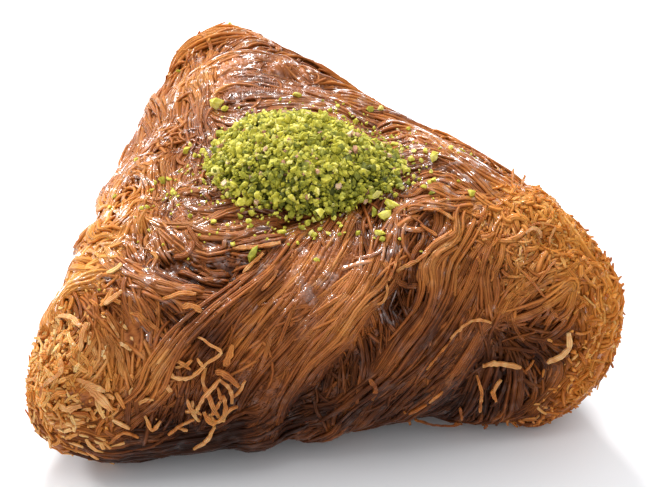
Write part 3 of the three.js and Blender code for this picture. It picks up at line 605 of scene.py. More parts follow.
WAIST_TONE = 0.315  # 0 and 1 are the ends of TONE_RAMP
HEIGHT_SHADE_TONE = 0.10  # how much paler the top is and darker the foot: partly syrup gathered low down, partly painted light and shade
WAIST_ELEVATION = -2
TONE_FADE = 20  # degrees of elevation
RELIEF_SHADE_TONE = 0.07  # painted shade: how much paler by a millimetre of relief, so the hollows are darker


def place_sum(directions, places):
    """The sum of the places' changes in directions, each fading with distance as a bell curve."""
    points = body_point(directions)
    total = np.zeros(points.shape[:-1])
    for at, radius, change in places:
        centre = body_point(direction_at(*at))
        total = total + change * np.exp(-((points - centre) ** 2).sum(-1) / radius**2)
    return total


def tone_at(directions):
    """The tone of the surface: darker low down, partly where syrup gathers and partly as painted shade;
    painted darker in the relief's hollows and paler on its crests, as shade; and moved near the places
    listed for it."""
    elevation = place_of(directions)[1]
    tone = WAIST_TONE + HEIGHT_SHADE_TONE * np.tanh((elevation - WAIST_ELEVATION) / TONE_FADE)
    tone = tone + RELIEF_SHADE_TONE * wrapping().relief(directions)
    return tone + place_sum(directions, TONE_AND_SHADE_PLACES)


def gold_and_glow_at(directions):
    """How orange gold the surface is, from 0 to 1: partly its own colour, partly a painted glow of light
    from behind.
    """
    return np.clip(place_sum(directions, GOLD_AND_GLOW_PLACES), 0, 1)


# ---- Meshes ----


def mesh_object(name, points, faces, attributes, smooth=True):
    """A new object from arrays: points in parcel millimetres, and faces all of one size."""
    mesh = bpy.data.meshes.new(name)
    mesh.vertices.add(len(points))
    mesh.vertices.foreach_set("co", ((points - MIDDLE) * MM).astype(np.float32).ravel())
    mesh.loops.add(faces.size)
    mesh.loops.foreach_set("vertex_index", faces.astype(np.int32).ravel())
    mesh.polygons.add(len(faces))
    mesh.polygons.foreach_set("loop_start", np.arange(0, faces.size, faces.shape[1], dtype=np.int32))
    mesh.update(calc_edges=True)
    mesh.polygons.foreach_set("use_smooth", np.full(len(faces), smooth))
    for key, values in attributes.items():
        layer = mesh.attributes.new(key, "FLOAT", "POINT")
        layer.data.foreach_set("value", values.astype(np.float32).ravel())
    if mesh.validate():
        raise RuntimeError(f"{name} has faces that Blender had to mend")
    piece = bpy.data.objects.new(name, mesh)
    bpy.context.scene.collection.objects.link(piece)
    return piece


def tube_faces(count, stations):
    """Quads of many four-sided tubes with stations x 4 points each, closed by a quad at each end."""
    i, k = np.meshgrid(np.arange(stations - 1), np.arange(4), indexing="ij")
    after = (k + 1) % 4
    wall = np.stack([i * 4 + k, i * 4 + after, (i + 1) * 4 + after, (i + 1) * 4 + k], -1)
    last = (stations - 1) * 4
    caps = np.array([[3, 2, 1, 0], [last, last + 1, last + 2, last + 3]])
    one = np.vstack([wall.reshape(-1, 4), caps])
    return (one[None] + (np.arange(count) * stations * 4)[:, None, None]).reshape(-1, 4)


class Tubes:
    """Closed four-sided tubes, gathered in batches for one mesh."""

    def __init__(self):
        self.points, self.faces, self.attributes, self.total = [], [], {}, 0

    def add(self, centres, normals, widths, heights, ribs, **attributes):
        """Tubes along centres (tube, station, 3): the section is widths across and heights along
        the surface's normals, at every station. Their rib attribute goes from 0 at one side of a
        tube to its number of ribs at the other."""
        count, stations = centres.shape[:2]
        along = unit(np.gradient(centres, axis=1))
        across = unit(np.cross(normals, along))
        out = np.cross(along, across)
        angles = (np.arange(4) + 0.5) * math.pi / 2
        half = np.array([widths, heights]) * math.sqrt(0.5)
        section = (
            across[:, :, None] * (np.cos(angles) * half[0][..., None])[..., None]
            + out[:, :, None] * (np.sin(angles) * half[1][..., None])[..., None]
        )
        points = (centres[:, :, None] + section).reshape(-1, 3)
        points[:, 2] = np.maximum(points[:, 2], BASE_CUT)
        self.points.append(points)
        self.faces.append(tube_faces(count, stations) + self.total)
        self.total += len(points)
        for key, values in attributes.items():
            spread = np.broadcast_to(values, (count, stations))
            self.attributes.setdefault(key, []).append(np.repeat(spread.ravel(), 4))
        sides = np.broadcast_to(ribs, (count, stations))[..., None] * np.array([1.0, 0.0, 0.0, 1.0])
        self.attributes.setdefault("rib", []).append(sides.ravel())

    def piece(self, name, smooth=True):
        attributes = {key: np.concatenate(values) for key, values in self.attributes.items()}
        points, faces = np.concatenate(self.points), np.concatenate(self.faces)
        return mesh_object(name, points, faces, attributes, smooth)


# ---- Strands ----

STATIONS = 10  # points along a strand of the wrapping
SWEEP_STATIONS = 14
WAVE_RATES = np.array([2.2, 4.6])  # radians over half a strand, for each of a wobble's two waves
WAVE_STRENGTHS = np.array([1.0, 0.45])
DRAWS_A_CELL = 12
HEADING_KEPT = 0.4  # of a step's direction goes on into the next

# Locks of strands, in millimetres, or in shares of a lock's half width.
LOCK_HALF_WIDTH = 1.3
LOCK_LAYERS = [-0.5, -0.25, 0.0]
LOCK_TURN = 0.14  # radians from the wrapping's direction
LOCK_TONE_SPREAD = 0.05
LOCK_JITTER = 0.25
LOCK_PINCH = 0.5
LOCK_CROWN = 0.2
LOCK_TUCK = 0.8
LIFT_SHADE_TONE = 0.22  # painted shade: how much paler by a millimetre of lift, so lower strands and tucked ends are darker

# The tube of any strand: its width and its tone differ from the usual by these.
RIB_SHARES = {1: 0.45, 2: 0.35, 3: 0.20}  # so many fine strands side by side, in this share of tubes
WIDTH_SPREAD = 0.15
TONE_SPREAD = 0.04
END_TAPER = 0.5

# The strands of a sweep: lengths are shares of its way, and the rest is in millimetres.
STRANDS_A_CLUMP = 4
CLUMP_PHASE = 2.4  # radians from one clump's waves to the next one's
CLUMP_PULL = 0.4  # the mean share of the way to the clump's middle
RAGGED_WAY = 0.45  # the longest way that a strand starts after its sweep or ends before it
RAGGED_SHARE = 0.75
SWEEP_WOBBLE = 0.26
SWEEP_CROWN = 0.35
SWEEP_SUNK = 0.25
SWEEP_TUCK = 0.9


def wander(rng, shape, t, size):
    """Smooth random wobble along strands: two waves of random phase and strength each."""
    each = (2, *shape, 1)
    two = (2, *[1] * (len(shape) + 1))
    phase = rng.uniform(0, 2 * math.pi, each)
    rate = WAVE_RATES.reshape(two) * rng.uniform(0.7, 1.3, each)
    strength = WAVE_STRENGTHS.reshape(two) * rng.normal(0, size, each)
    return (np.sin(rate * t * 2 + phase) * strength).sum(axis=0)


def start_cells(rng, weights, count):
    """Grid cells drawn in proportion to their weights, spread evenly by equal steps."""
    total = np.cumsum(weights)
    steps = (np.arange(count) + rng.uniform(0, 1, count)) / count * total[-1]
    return rng.permutation(np.minimum(np.searchsorted(total, steps), len(total) - 1))


def spread_cells(parcel, rng, weights, count):
    """Grid cells drawn as in start_cells, but each is the one of several draws that lies farthest
    from those already taken."""
    draws = start_cells(rng, weights, DRAWS_A_CELL * count).reshape(count, DRAWS_A_CELL)
    taken = draws[:1, 0]
    for row in draws[1:]:
        gaps = np.linalg.norm(parcel.points[row][:, None] - parcel.points[taken], axis=-1).min(axis=1)
        taken = np.append(taken, row[gaps.argmax()])
    return taken


def trace(parcel, rng, starts, lengths, turn):
    """Paths on the bare body: from each start the path follows the strands' direction, turned by
    its own angle and a slow wobble, and every step is brought back onto the body."""
    count = len(starts)
    points = parcel.points[starts]
    heading = parcel.flow[starts] * rng.choice([-1, 1], count)[:, None]
    angles = rng.normal(0, turn, count)[:, None] + wander(rng, (count,), np.linspace(0, 1, STATIONS), turn)
    step = (lengths / (STATIONS - 1))[:, None]
    path = [points]
    for i in range(1, STATIONS):
        flow = parcel.flow_in(direction_of(points), heading)
        heading = unit(HEADING_KEPT * heading + (1 - HEADING_KEPT) * flow)
        normals = body_normal(points)
        heading = tangent_to(heading, normals)
        side = np.cross(normals, heading)
        angle = angles[:, i : i + 1]
        points = points + (heading * np.cos(angle) + side * np.sin(angle)) * step
        points = body_point(direction_of(points))
        path.append(points)
    return np.stack(path, axis=1)


def arcs(parcel, rng, starts, lengths, aside, bends, stations):
    """Short arcs on the bare body: each starts aside from the strands' direction by its own angle
    and turns by its bend on the way."""
    points = parcel.points[starts]
    heading = parcel.flow[starts] * rng.choice([-1, 1], len(starts))[:, None]
    turn = aside[:, None]
    path = [points]
    for _ in range(1, stations):
        normals = body_normal(points)
        heading = tangent_to(heading, normals)
        heading = heading * np.cos(turn) + np.cross(normals, heading) * np.sin(turn)
        points = body_point(direction_of(points + heading * (lengths / (stations - 1))[:, None]))
        turn = (bends / (stations - 1))[:, None]
        path.append(points)
    return np.stack(path, axis=1)


def add_locks(tubes, parcel, rng, paths, per_lock, spread, size, layers, tones):
    """Strands that run side by side along each path. A strand's distance from the path narrows
    and widens along it and wobbles, its ends tuck under, and its lock has a layer and a tone."""
    count, stations = paths.shape[:2]
    t = np.linspace(0, 1, stations)
    across = np.cross(body_normal(paths), unit(np.gradient(paths, axis=1)))
    places = np.linspace(-1, 1, per_lock) + rng.uniform(-LOCK_JITTER, LOCK_JITTER, (count, per_lock))
    depth = rng.uniform(0.0, LOCK_PINCH, (count, 1))
    pinch = 1 - depth * np.sin(math.pi * t + rng.uniform(-0.8, 0.8, (count, 1)))
    aside = places[..., None] * spread * pinch[:, None] + wander(rng, (count, per_lock), t, 0.2)
    points = paths[:, None] + across[:, None] * aside[..., None]
    directions = direction_of(points)
    crown = (1 - places**2)[..., None] * LOCK_CROWN
    tuck = -LOCK_TUCK * np.abs(2 * t - 1) ** 6 * rng.uniform(0.3, 1.0, (count, per_lock, 1))
    rise = wander(rng, (count, per_lock), t, 0.1) + rng.normal(0, 0.08, (count, per_lock, 1))
    lift = layers[:, None, None] + crown + tuck + rise
    # Painted shade: the lower strands and the tucked ends are darker, the higher ones paler.
    tone = tones[:, None, None] + LIFT_SHADE_TONE * lift
    add_strands(tubes, parcel, rng, directions, lift, size, tone)


def add_strands(tubes, parcel, rng, directions, lift, size, tone):
    """Strands through directions at their lifts: tapered at both ends, each with its own width,
    and each a little paler or browner than its neighbours."""
    stations = directions.shape[-2]
    t = np.linspace(0, 1, stations)
    lift = np.broadcast_to(lift, directions.shape[:-1])
    centres, normals = parcel.surface(directions, lift)
    one_each = (*directions.shape[:-2], 1)
    ribs = rng.choice(list(RIB_SHARES), one_each, p=list(RIB_SHARES.values()))
    width = size * rng.lognormal(0, WIDTH_SPREAD, one_each) * (0.72 + 0.28 * ribs)
    width = width * (1 - END_TAPER * np.abs(2 * t - 1) ** 8)
    flatness = rng.uniform(0.62, 0.9, one_each) / (0.6 + 0.4 * ribs)
    tone = tone + rng.normal(0, TONE_SPREAD, one_each) + tone_at(directions)
    rows = (-1, stations)
    tubes.add(
        centres.reshape(*rows, 3),
        normals.reshape(*rows, 3),
        width.reshape(rows),
        (width * flatness).reshape(rows),
        ribs.reshape(-1, 1),
        tone=tone.reshape(rows),
        gold=gold_and_glow_at(directions).reshape(rows),
    )


def add_sweep(tubes, parcel, rng, sweep, size):
    """Strands combed along a sweep's middle line. Each keeps its share of the half width, starts
    and ends at a share of the way of its own, and leans towards its clump's middle in places."""
    line, start_half, stop_half, count, lift, tone = sweep
    knots = line_on_body(line, 3 * len(line))
    starts = rng.uniform(0, RAGGED_WAY, (count, 1)) * (rng.random((count, 1)) < RAGGED_SHARE)
    stops = 1 - rng.uniform(0, RAGGED_WAY, (count, 1)) * (rng.random((count, 1)) < RAGGED_SHARE)
    t = np.linspace(0, 1, SWEEP_STATIONS)
    share = starts + (stops - starts) * t
    middle = curve_at(knots, share)
    along = curve_at(knots, share + 0.02) - curve_at(knots, share - 0.02)
    across = np.cross(body_normal(middle), unit(along))
    places = np.linspace(-1, 1, count)[:, None] + rng.uniform(-0.6, 0.6, (count, 1)) / count
    clump = np.arange(count) // STRANDS_A_CLUMP
    clump_middle = np.array([places[clump == c].mean() for c in clump])[:, None]
    phase = (clump * CLUMP_PHASE)[:, None]
    pull = CLUMP_PULL + CLUMP_PULL * np.sin(5.0 * share + phase)
    places = places + (clump_middle - places) * pull
    half = start_half + (stop_half - start_half) * share
    aside = places * half + wander(rng, (count,), t, SWEEP_WOBBLE)
    crown = SWEEP_CROWN * (1 - places**2)
    height = lift + crown - SWEEP_SUNK + 0.12 * np.sin(3.0 * share + phase * 1.7)
    height = height + wander(rng, (count,), t, 0.08) - SWEEP_TUCK * np.abs(2 * t - 1) ** 8 * (lift > 0)
    directions = direction_of(middle + across * aside[..., None])
    # Painted light: the raised middle of a sweep is paler.
    shade = tone + 0.04 * np.sin(phase * 3.1) + 0.05 * crown
    add_strands(tubes, parcel, rng, directions, height, size, shade)


# ---- Materials ----

TONE_RAMP = [
    (0.00, (0.022, 0.005, 0.001)),
    (0.25, (0.105, 0.026, 0.005)),
    (0.45, (0.290, 0.082, 0.017)),
    (0.62, (0.470, 0.160, 0.036)),
    (0.80, (0.640, 0.310, 0.115)),
    (1.00, (0.820, 0.530, 0.260)),
]
GOLD_GLOW_RAMP = [
    (0.00, (0.120, 0.028, 0.002)),
    (0.35, (0.450, 0.120, 0.009)),
    (0.60, (0.730, 0.265, 0.038)),
    (1.00, (0.900, 0.540, 0.180)),
]


class Network:
    """A material's nodes. It starts with only a Principled shader on the material's output."""

    def __init__(self, name):
        self.material = bpy.data.materials.new(name)
        self.material.use_nodes = True
        self.nodes = self.material.node_tree.nodes

    def feed(self, node, inputs):
        """Sets a node's inputs, which are given by name or number, to sockets or values."""
        for key, value in inputs.items():
            if isinstance(value, bpy.types.NodeSocket):
                self.material.node_tree.links.new(value, node.inputs[key])
            else:
                node.inputs[key].default_value = value

    def shade(self, inputs):
        """Sets the Principled shader's inputs."""
        self.feed(self.nodes["Principled BSDF"], inputs)

    def add(self, kind, inputs, **settings):
        """A new node's outputs."""
        node = self.nodes.new("ShaderNode" + kind)
        for key, value in settings.items():
            setattr(node, key, value)
        self.feed(node, inputs)
        return node.outputs

    def attribute(self, name):
        return self.add("Attribute", {}, attribute_name=name)["Fac"]

    def noise(self, scale, detail):
        """Noise on the object's own coordinates, scale being in waves a metre."""
        place = self.add("TexCoord", {})["Object"]
        return self.add("TexNoise", {"Scale": scale, "Detail": detail, "Vector": place})["Fac"]

    def math(self, operation, *values):
        return self.add("Math", dict(enumerate(values)), operation=operation)[0]

    def add_scaled(self, base, extra, amount):
        """base + (extra - 0.5) x amount."""
        return self.math("MULTIPLY_ADD", self.math("SUBTRACT", extra, 0.5), amount, base)

    def ramp(self, factor, stops):
        node = self.nodes.new("ShaderNodeValToRGB")
        elements = node.color_ramp.elements
        while len(elements) < len(stops):
            elements.new(0.5)
        for element, (at, colour) in zip(elements, stops):
            element.position = at
            element.color = (*colour, 1)
        self.feed(node, {"Fac": factor})
        return node.outputs["Color"]

    def mix(self, factor, first, second):
        inputs = {"Factor": factor, "A": first, "B": second}
        return self.add("Mix", inputs, data_type="RGBA")["Result"]

    def bump(self, height, strength, distance):
        inputs = {"Strength": strength, "Distance": distance, "Height": height}
        return self.add("Bump", inputs)["Normal"]


def strand_material(name, roughness, shine, coat, soft):
    """Baked strands. The rib attribute counts the fine strands across a tube, so its sine gives
    them rounded backs, and the grooves between them are painted darker as shade. The tone attribute
    with a mottle goes through a ramp from soaked brown to pale gold, and the gold attribute mixes in
    the ramp of strands with light behind them, partly their own gold and partly a painted glow. Syrup
    lies on them in patches, as a coat."""
    net = Network(name)
    fine = net.noise(scale=900.0, detail=3.0)
    back = net.math("ABSOLUTE", net.math("SINE", net.math("MULTIPLY", net.attribute("rib"), math.pi)))
    tone = net.add_scaled(net.attribute("tone"), fine, amount=0.20)
    tone = net.add_scaled(tone, net.noise(scale=130.0, detail=4.0), amount=0.36)
    # Painted shade: the tone is darker in the grooves between the fine strands.
    tone = net.add_scaled(tone, back, amount=0.11)
    gold = net.add_scaled(net.attribute("gold"), net.noise(scale=300.0, detail=2.0), amount=1.1)
    patch = net.math("SUBTRACT", net.noise(scale=600.0, detail=1.0), 0.50)
    wet = net.math("MULTIPLY", patch, 14.0 * coat)
    dots = net.noise(scale=1200.0, detail=0.0)
    ridges = net.add_scaled(back, fine, amount=1.2)
    net.shade({
        "Base Color": net.mix(gold, net.ramp(tone, TONE_RAMP), net.ramp(tone, GOLD_GLOW_RAMP)),
        "Normal": net.bump(ridges, strength=1.0, distance=0.00009),
        "Coat Weight": net.math("MAXIMUM", wet, 0.0),
        "Coat Normal": net.bump(dots, strength=1.0, distance=0.00036),
        "Coat Roughness": 0.04,
        "Roughness": roughness,
        "Specular IOR Level": shine,
        "Subsurface Weight": soft,
        "Subsurface Radius": (1.0, 0.40, 0.12),
        "Subsurface Scale": 0.0010,
        "IOR": 1.45,
    })
    return net.material


NUT_RAMP = [
    (0.00, (0.035, 0.042, 0.003)),
    (0.30, (0.150, 0.160, 0.008)),
    (0.55, (0.330, 0.315, 0.018)),
    (0.80, (0.600, 0.530, 0.050)),
    (1.00, (0.800, 0.720, 0.220)),
]
SKIN_RAMP = [(0.00, (0.10, 0.03, 0.03)), (0.50, (0.46, 0.22, 0.12)), (1.00, (0.78, 0.58, 0.36))]


def nut_material():
    """Ground pistachio: the tone attribute goes from deep green to pale yellow green, and the few
    crumbs whose skin attribute is 1 are brown, pink or beige."""
    net = Network("ground_pistachio")
    fine = net.noise(scale=1600.0, detail=3.0)
    tone = net.add_scaled(net.attribute("tone"), fine, amount=0.5)
    green, skin = net.ramp(tone, NUT_RAMP), net.ramp(tone, SKIN_RAMP)
    net.shade({
        "Base Color": net.mix(net.attribute("skin"), green, skin),
        "Normal": net.bump(fine, strength=0.6, distance=0.0003),
        "Roughness": 0.7,
        "Subsurface Weight": 0.25,
        "Subsurface Radius": (0.8, 0.8, 0.2),
        "Subsurface Scale": 0.0008,
    })
    return net.material


def finish_piece(piece, material, node):
    """Gives a piece its material and puts it in the place of the solid that it stands for."""
    piece.data.materials.append(material)
    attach(piece, "root")
    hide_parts(node)


# ---- Settings ----


class KadayifSizes(bpy.types.PropertyGroup):
    """Sizes of the pastry's strands and of the nut crumbs."""

    strand_width: bpy.props.FloatProperty(
        name="Strand Width", description="Width of one baked strand", default=0.00044,
        min=0.0003, max=0.001, unit="LENGTH", subtype="DISTANCE", precision=5,
    )
    strand_length: bpy.props.FloatProperty(
        name="Strand Length", description="Usual length of the part of a strand that shows",
        default=0.015, min=0.006, max=0.04, unit="LENGTH", subtype="DISTANCE",
    )
    lock_strands: bpy.props.IntProperty(
        name="Strands in a Lock", description="Strands that lie side by side", default=6, min=2, max=12,
    )
    grain_size: bpy.props.FloatProperty(
        name="Grain Size", description="Usual size of a crumb of ground nut", default=0.00068,
        min=0.0005, max=0.002, unit="LENGTH", subtype="DISTANCE", precision=5,
    )
    grains: bpy.props.IntProperty(
        name="Grains", description="Nut crumbs in the heap", default=6800, min=200, max=9000,
    )


def settings():
    return bpy.context.scene.kadayif_sizes


# ---- Operators ----

POLES = [[0, 0, -1.0], [0, 0, 1.0]]

# The fused surface: heights are millimetres, and tones are shares of the ramp.
CORE_COLUMNS = 300
CORE_ROWS = 150
CORE_SUNK = 0.35
PATCH_DIP = 1.2
PATCH_EDGE = 60  # the higher, the narrower the edge that dips
FUSED_SUNK = 0.42
SHEET_HEIGHT = 1.05
STREAK_HEIGHT = 0.15
SHEET_SMOOTHING = 0.3
# Painted shade: the fused surface is darker, as it shows only deep in the gaps between strands.
FUSED_SHADE_TONE = 0.10
SHEET_TONE = 0.05
STREAK_TONE = 0.07


class KADAYIF_OT_core(bpy.types.Operator):
    """The pastry under the outermost strands, fused by syrup"""

    bl_idname = "kadayif.core"
    bl_label = "Pastry Core"

    def execute(self, context):
        soaked = strand_material("soaked_core", roughness=0.45, shine=0.2, coat=0.2, soft=0.0)
        glazed = strand_material("glazed_core", roughness=0.38, shine=0.3, coat=1.0, soft=0.0)
        finish_piece(self.core(), soaked, "pastry")
        for name, *extent in FUSED_PATCHES:
            finish_piece(self.patch(name, *extent), glazed if "top" in name else soaked, "pastry")
        return {"FINISHED"}

    def core(self):
        """A grid of bearings and elevations on the relief, sunk under the patches, with closed
        poles."""
        bearings = np.arange(CORE_COLUMNS) * 360 / CORE_COLUMNS - 180
        elevations = np.linspace(-90, 90, CORE_ROWS + 1)[1:-1]
        directions = direction_at(*np.meshgrid(bearings, elevations)).reshape(-1, 3)
        points, shades = self.fused(np.vstack([directions, POLES]), -CORE_SUNK)
        return mesh_object("pastry_core", points, globe_faces(CORE_ROWS, CORE_COLUMNS), shades)

    def patch(self, name, bearings, elevations, columns, rows):
        """A fine grid over a stretch of bearings and elevations. Its edges dip under the core, and
        a fan from the parcel's middle closes it."""
        across, up = np.linspace(0, 1, columns), np.linspace(0, 1, rows)
        a, u = (grid.ravel() for grid in np.meshgrid(across, up))
        directions = direction_at(
            bearings[0] + (bearings[1] - bearings[0]) * a,
            elevations[0] + (elevations[1] - elevations[0]) * u,
        )
        dip = np.maximum(np.abs(2 * a - 1), np.abs(2 * u - 1)) ** PATCH_EDGE
        points, shades = self.fused(directions, -PATCH_DIP * dip)
        middle = np.array([[0.0, 0.0, HALF_THICKNESS]])
        shades = {key: np.append(values, 0.0) for key, values in shades.items()}
        return mesh_object(name, np.vstack([points, middle]), patch_faces(rows, columns), shades)

    def fused(self, directions, lift):
        """The fused surface in directions: the relief, ridged along the strands by their streaks
        and raised where syrup has made sheets of them."""
        streak = wrapping().streaks(directions, np.random.default_rng(100))
        sheet = np.clip(place_sum(directions, SHEET_PLACES), 0, 1)
        ridges = STREAK_HEIGHT * streak * (1 - SHEET_SMOOTHING * sheet)
        points = wrapping().surface(directions, lift - FUSED_SUNK + SHEET_HEIGHT * sheet + ridges)[0]
        points[:, 2] = np.maximum(points[:, 2] - BASE_GAP, BASE_CUT)
        # Painted shade: the fused surface is darker than the strands that lie over it.
        tone = tone_at(directions) - FUSED_SHADE_TONE + SHEET_TONE * sheet + STREAK_TONE * streak
        return points, {"tone": tone, "gold": gold_and_glow_at(directions), "rib": np.full(len(tone), 0.5)}


def cut_in_two(quads, triangles):
    """The quads as triangles, and the triangles after them."""
    return np.concatenate([quads[:, [0, 1, 2]], quads[:, [0, 2, 3]], triangles])


def patch_faces(rows, columns):
    """Triangles of a grid of rows x columns points, closed by a fan to the point after them."""
    r, c = np.meshgrid(np.arange(rows - 1), np.arange(columns - 1), indexing="ij")
    low, high = r * columns + c, (r + 1) * columns + c
    quads = np.stack([low, low + 1, high + 1, high], -1).reshape(-1, 4)
    along, up = np.arange(columns), np.arange(rows)
    last = (rows - 1) * columns
    ring = np.concatenate([
        along[:-1], up[:-1] * columns + columns - 1, last + along[:0:-1], up[:0:-1] * columns,
    ])
    fan = np.stack([np.full(len(ring), rows * columns), np.roll(ring, -1), ring], -1)
    return cut_in_two(quads, fan)


def globe_faces(rows, columns):
    """Triangles of a globe of rows - 1 rings of points, then its south and its north pole."""
    r, c = np.meshgrid(np.arange(rows - 2), np.arange(columns), indexing="ij")
    after = (c + 1) % columns
    low, high = r * columns, (r + 1) * columns
    quads = np.stack([low + c, low + after, high + after, high + c], -1).reshape(-1, 4)
    ring = np.arange(columns)
    south = (rows - 1) * columns
    top = (rows - 2) * columns
    fans = np.concatenate([
        np.stack([np.full(columns, south), (ring + 1) % columns, ring], -1),
        np.stack([np.full(columns, south + 1), top + ring, top + (ring + 1) % columns], -1),
    ])
    return cut_in_two(quads, fans)


class KADAYIF_OT_strands(bpy.types.Operator):
    """Locks of strands all over the parcel, along its wrapping"""

    bl_idname = "kadayif.strands"
    bl_label = "Wrapped Strands"

    def execute(self, context):
        parcel = wrapping()
        sizes = settings()
        width = sizes.strand_width / MM
        bearing, elevation = place_of(parcel.directions)
        under = elevation < -58
        top = elevation > 38
        front = ~top & ~under & (bearing > -142) & (bearing < -22)
        right = ~top & ~under & (bearing >= -22) & (bearing < 104)
        left = ~top & ~under & ~front & ~right
        glazed = strand_material("glazed_strands", roughness=0.42, shine=0.25, coat=1.0, soft=0.15)
        soaked = strand_material("soaked_strands", roughness=0.48, shine=0.16, coat=0.15, soft=0.15)
        regions = [
            # name, where, how many locks, how wide, material, seed
            ("top_strands", top, 330, 1.0, glazed, 101),
            ("front_strands", front, 290, 1.0, soaked, 102),
            ("right_strands", right, 150, 1.3, soaked, 103),
            ("left_strands", left, 150, 1.3, soaked, 104),
            ("under_strands", under, 60, 1.5, soaked, 105),
        ]
        for name, inside, count, scale, material, seed in regions:
            rng = np.random.default_rng(seed)
            starts = spread_cells(parcel, rng, parcel.areas * inside, count)
            lengths = sizes.strand_length / MM * rng.lognormal(0, 0.25, count)
            paths = trace(parcel, rng, starts, lengths, LOCK_TURN)
            layers = rng.choice(LOCK_LAYERS, count)
            tones = rng.normal(0, LOCK_TONE_SPREAD, count)
            tubes = Tubes()
            spread = LOCK_HALF_WIDTH * scale
            size = width * scale
            add_locks(tubes, parcel, rng, paths, sizes.lock_strands, spread, size, layers, tones)
            finish_piece(tubes.piece(name), material, "pastry")
        return {"FINISHED"}


class KADAYIF_OT_sweeps(bpy.types.Operator):
    """The combed sweeps of strands that lap over each other on the sides and the top"""

    bl_idname = "kadayif.sweeps"
    bl_label = "Combed Sweeps"

    def execute(self, context):
        parcel = wrapping()
        width = settings().strand_width / MM
        front, right, left = on_all_sides(FRONT_SWEEPS)
        glazed = bpy.data.materials["glazed_strands"]
        soaked = bpy.data.materials["soaked_strands"]
        groups = [
            ("front_sweeps", front + BASE_SWEEPS, soaked, 201),
            ("top_sweeps", OTHER_SWEEPS, glazed, 202),
            ("back_sweeps", right + left, soaked, 203),
        ]
        for name, sweeps, material, seed in groups:
            rng = np.random.default_rng(seed)
            tubes = Tubes()
            for sweep in sweeps:
                add_sweep(tubes, parcel, rng, sweep, width)
            finish_piece(tubes.piece(name), material, "pastry")
        return {"FINISHED"}


def bell(values, middle, spread):
    """1 at the middle, fading as a bell curve."""
    return np.exp(-(((values - middle) / spread) ** 2))


def end_places(parcel):
    """How much of the crisp pastry at the roll's ends lies at each grid cell: at the left end, on
    the right end's rim, inside it, behind it, and at the back end. Each is a bell of bearings times
    a bell or a stretch of elevations, in degrees."""
    bearing, elevation = place_of(parcel.directions)
    rim_bearing = -24 - 6 * np.clip((10 - elevation) / 40, 0, 1)
    return (
        bell(bearing, -138, 9) * bell(elevation, 4, 22),
        bell(bearing, rim_bearing, 5) * (elevation > -45) * (elevation < 44),
        bell(bearing, -34, 6) * bell(elevation, 34, 12),
        bell(bearing, 22, 24) * bell(elevation, 34, 14),
        bell(bearing, 112, 12) * bell(elevation, 5, 22),
    )


# The crisp pastry at each of end_places. Its flakes: how many, shortest and longest, narrowest and
# widest, how high they rise, and tone. Its granules: how many, size and tone.
END_FLAKES = [
    (560, (1.0, 3.2), (0.30, 0.75), 0.7, 0.69),
    (620, (0.7, 2.0), (0.25, 0.5), 0.8, 0.57),
    (190, (1.0, 3.2), (0.22, 0.45), 0.7, 0.54),
    (200, (0.8, 2.2), (0.25, 0.5), 0.4, 0.50),
    (240, (1.0, 3.0), (0.25, 0.6), 0.6, 0.55),
]
END_GRANULES = [(400, 0.55, 0.68), (420, 0.7, 0.54), (120, 0.45, 0.52), (160, 0.5, 0.50), (240, 0.6, 0.56)]
FLAKE_STATIONS = 4
FLAKE_TURN = 0.7  # radians
FLAKE_THICKNESS = 0.22
FLAKE_TONE_SPREAD = 0.13
LOOSE_STEP = 0.45  # between the points of a loose strand
LOOSE_WOBBLE = 0.035
LOOSE_JAG = 0.3
LOOSE_GOLD = 0.15


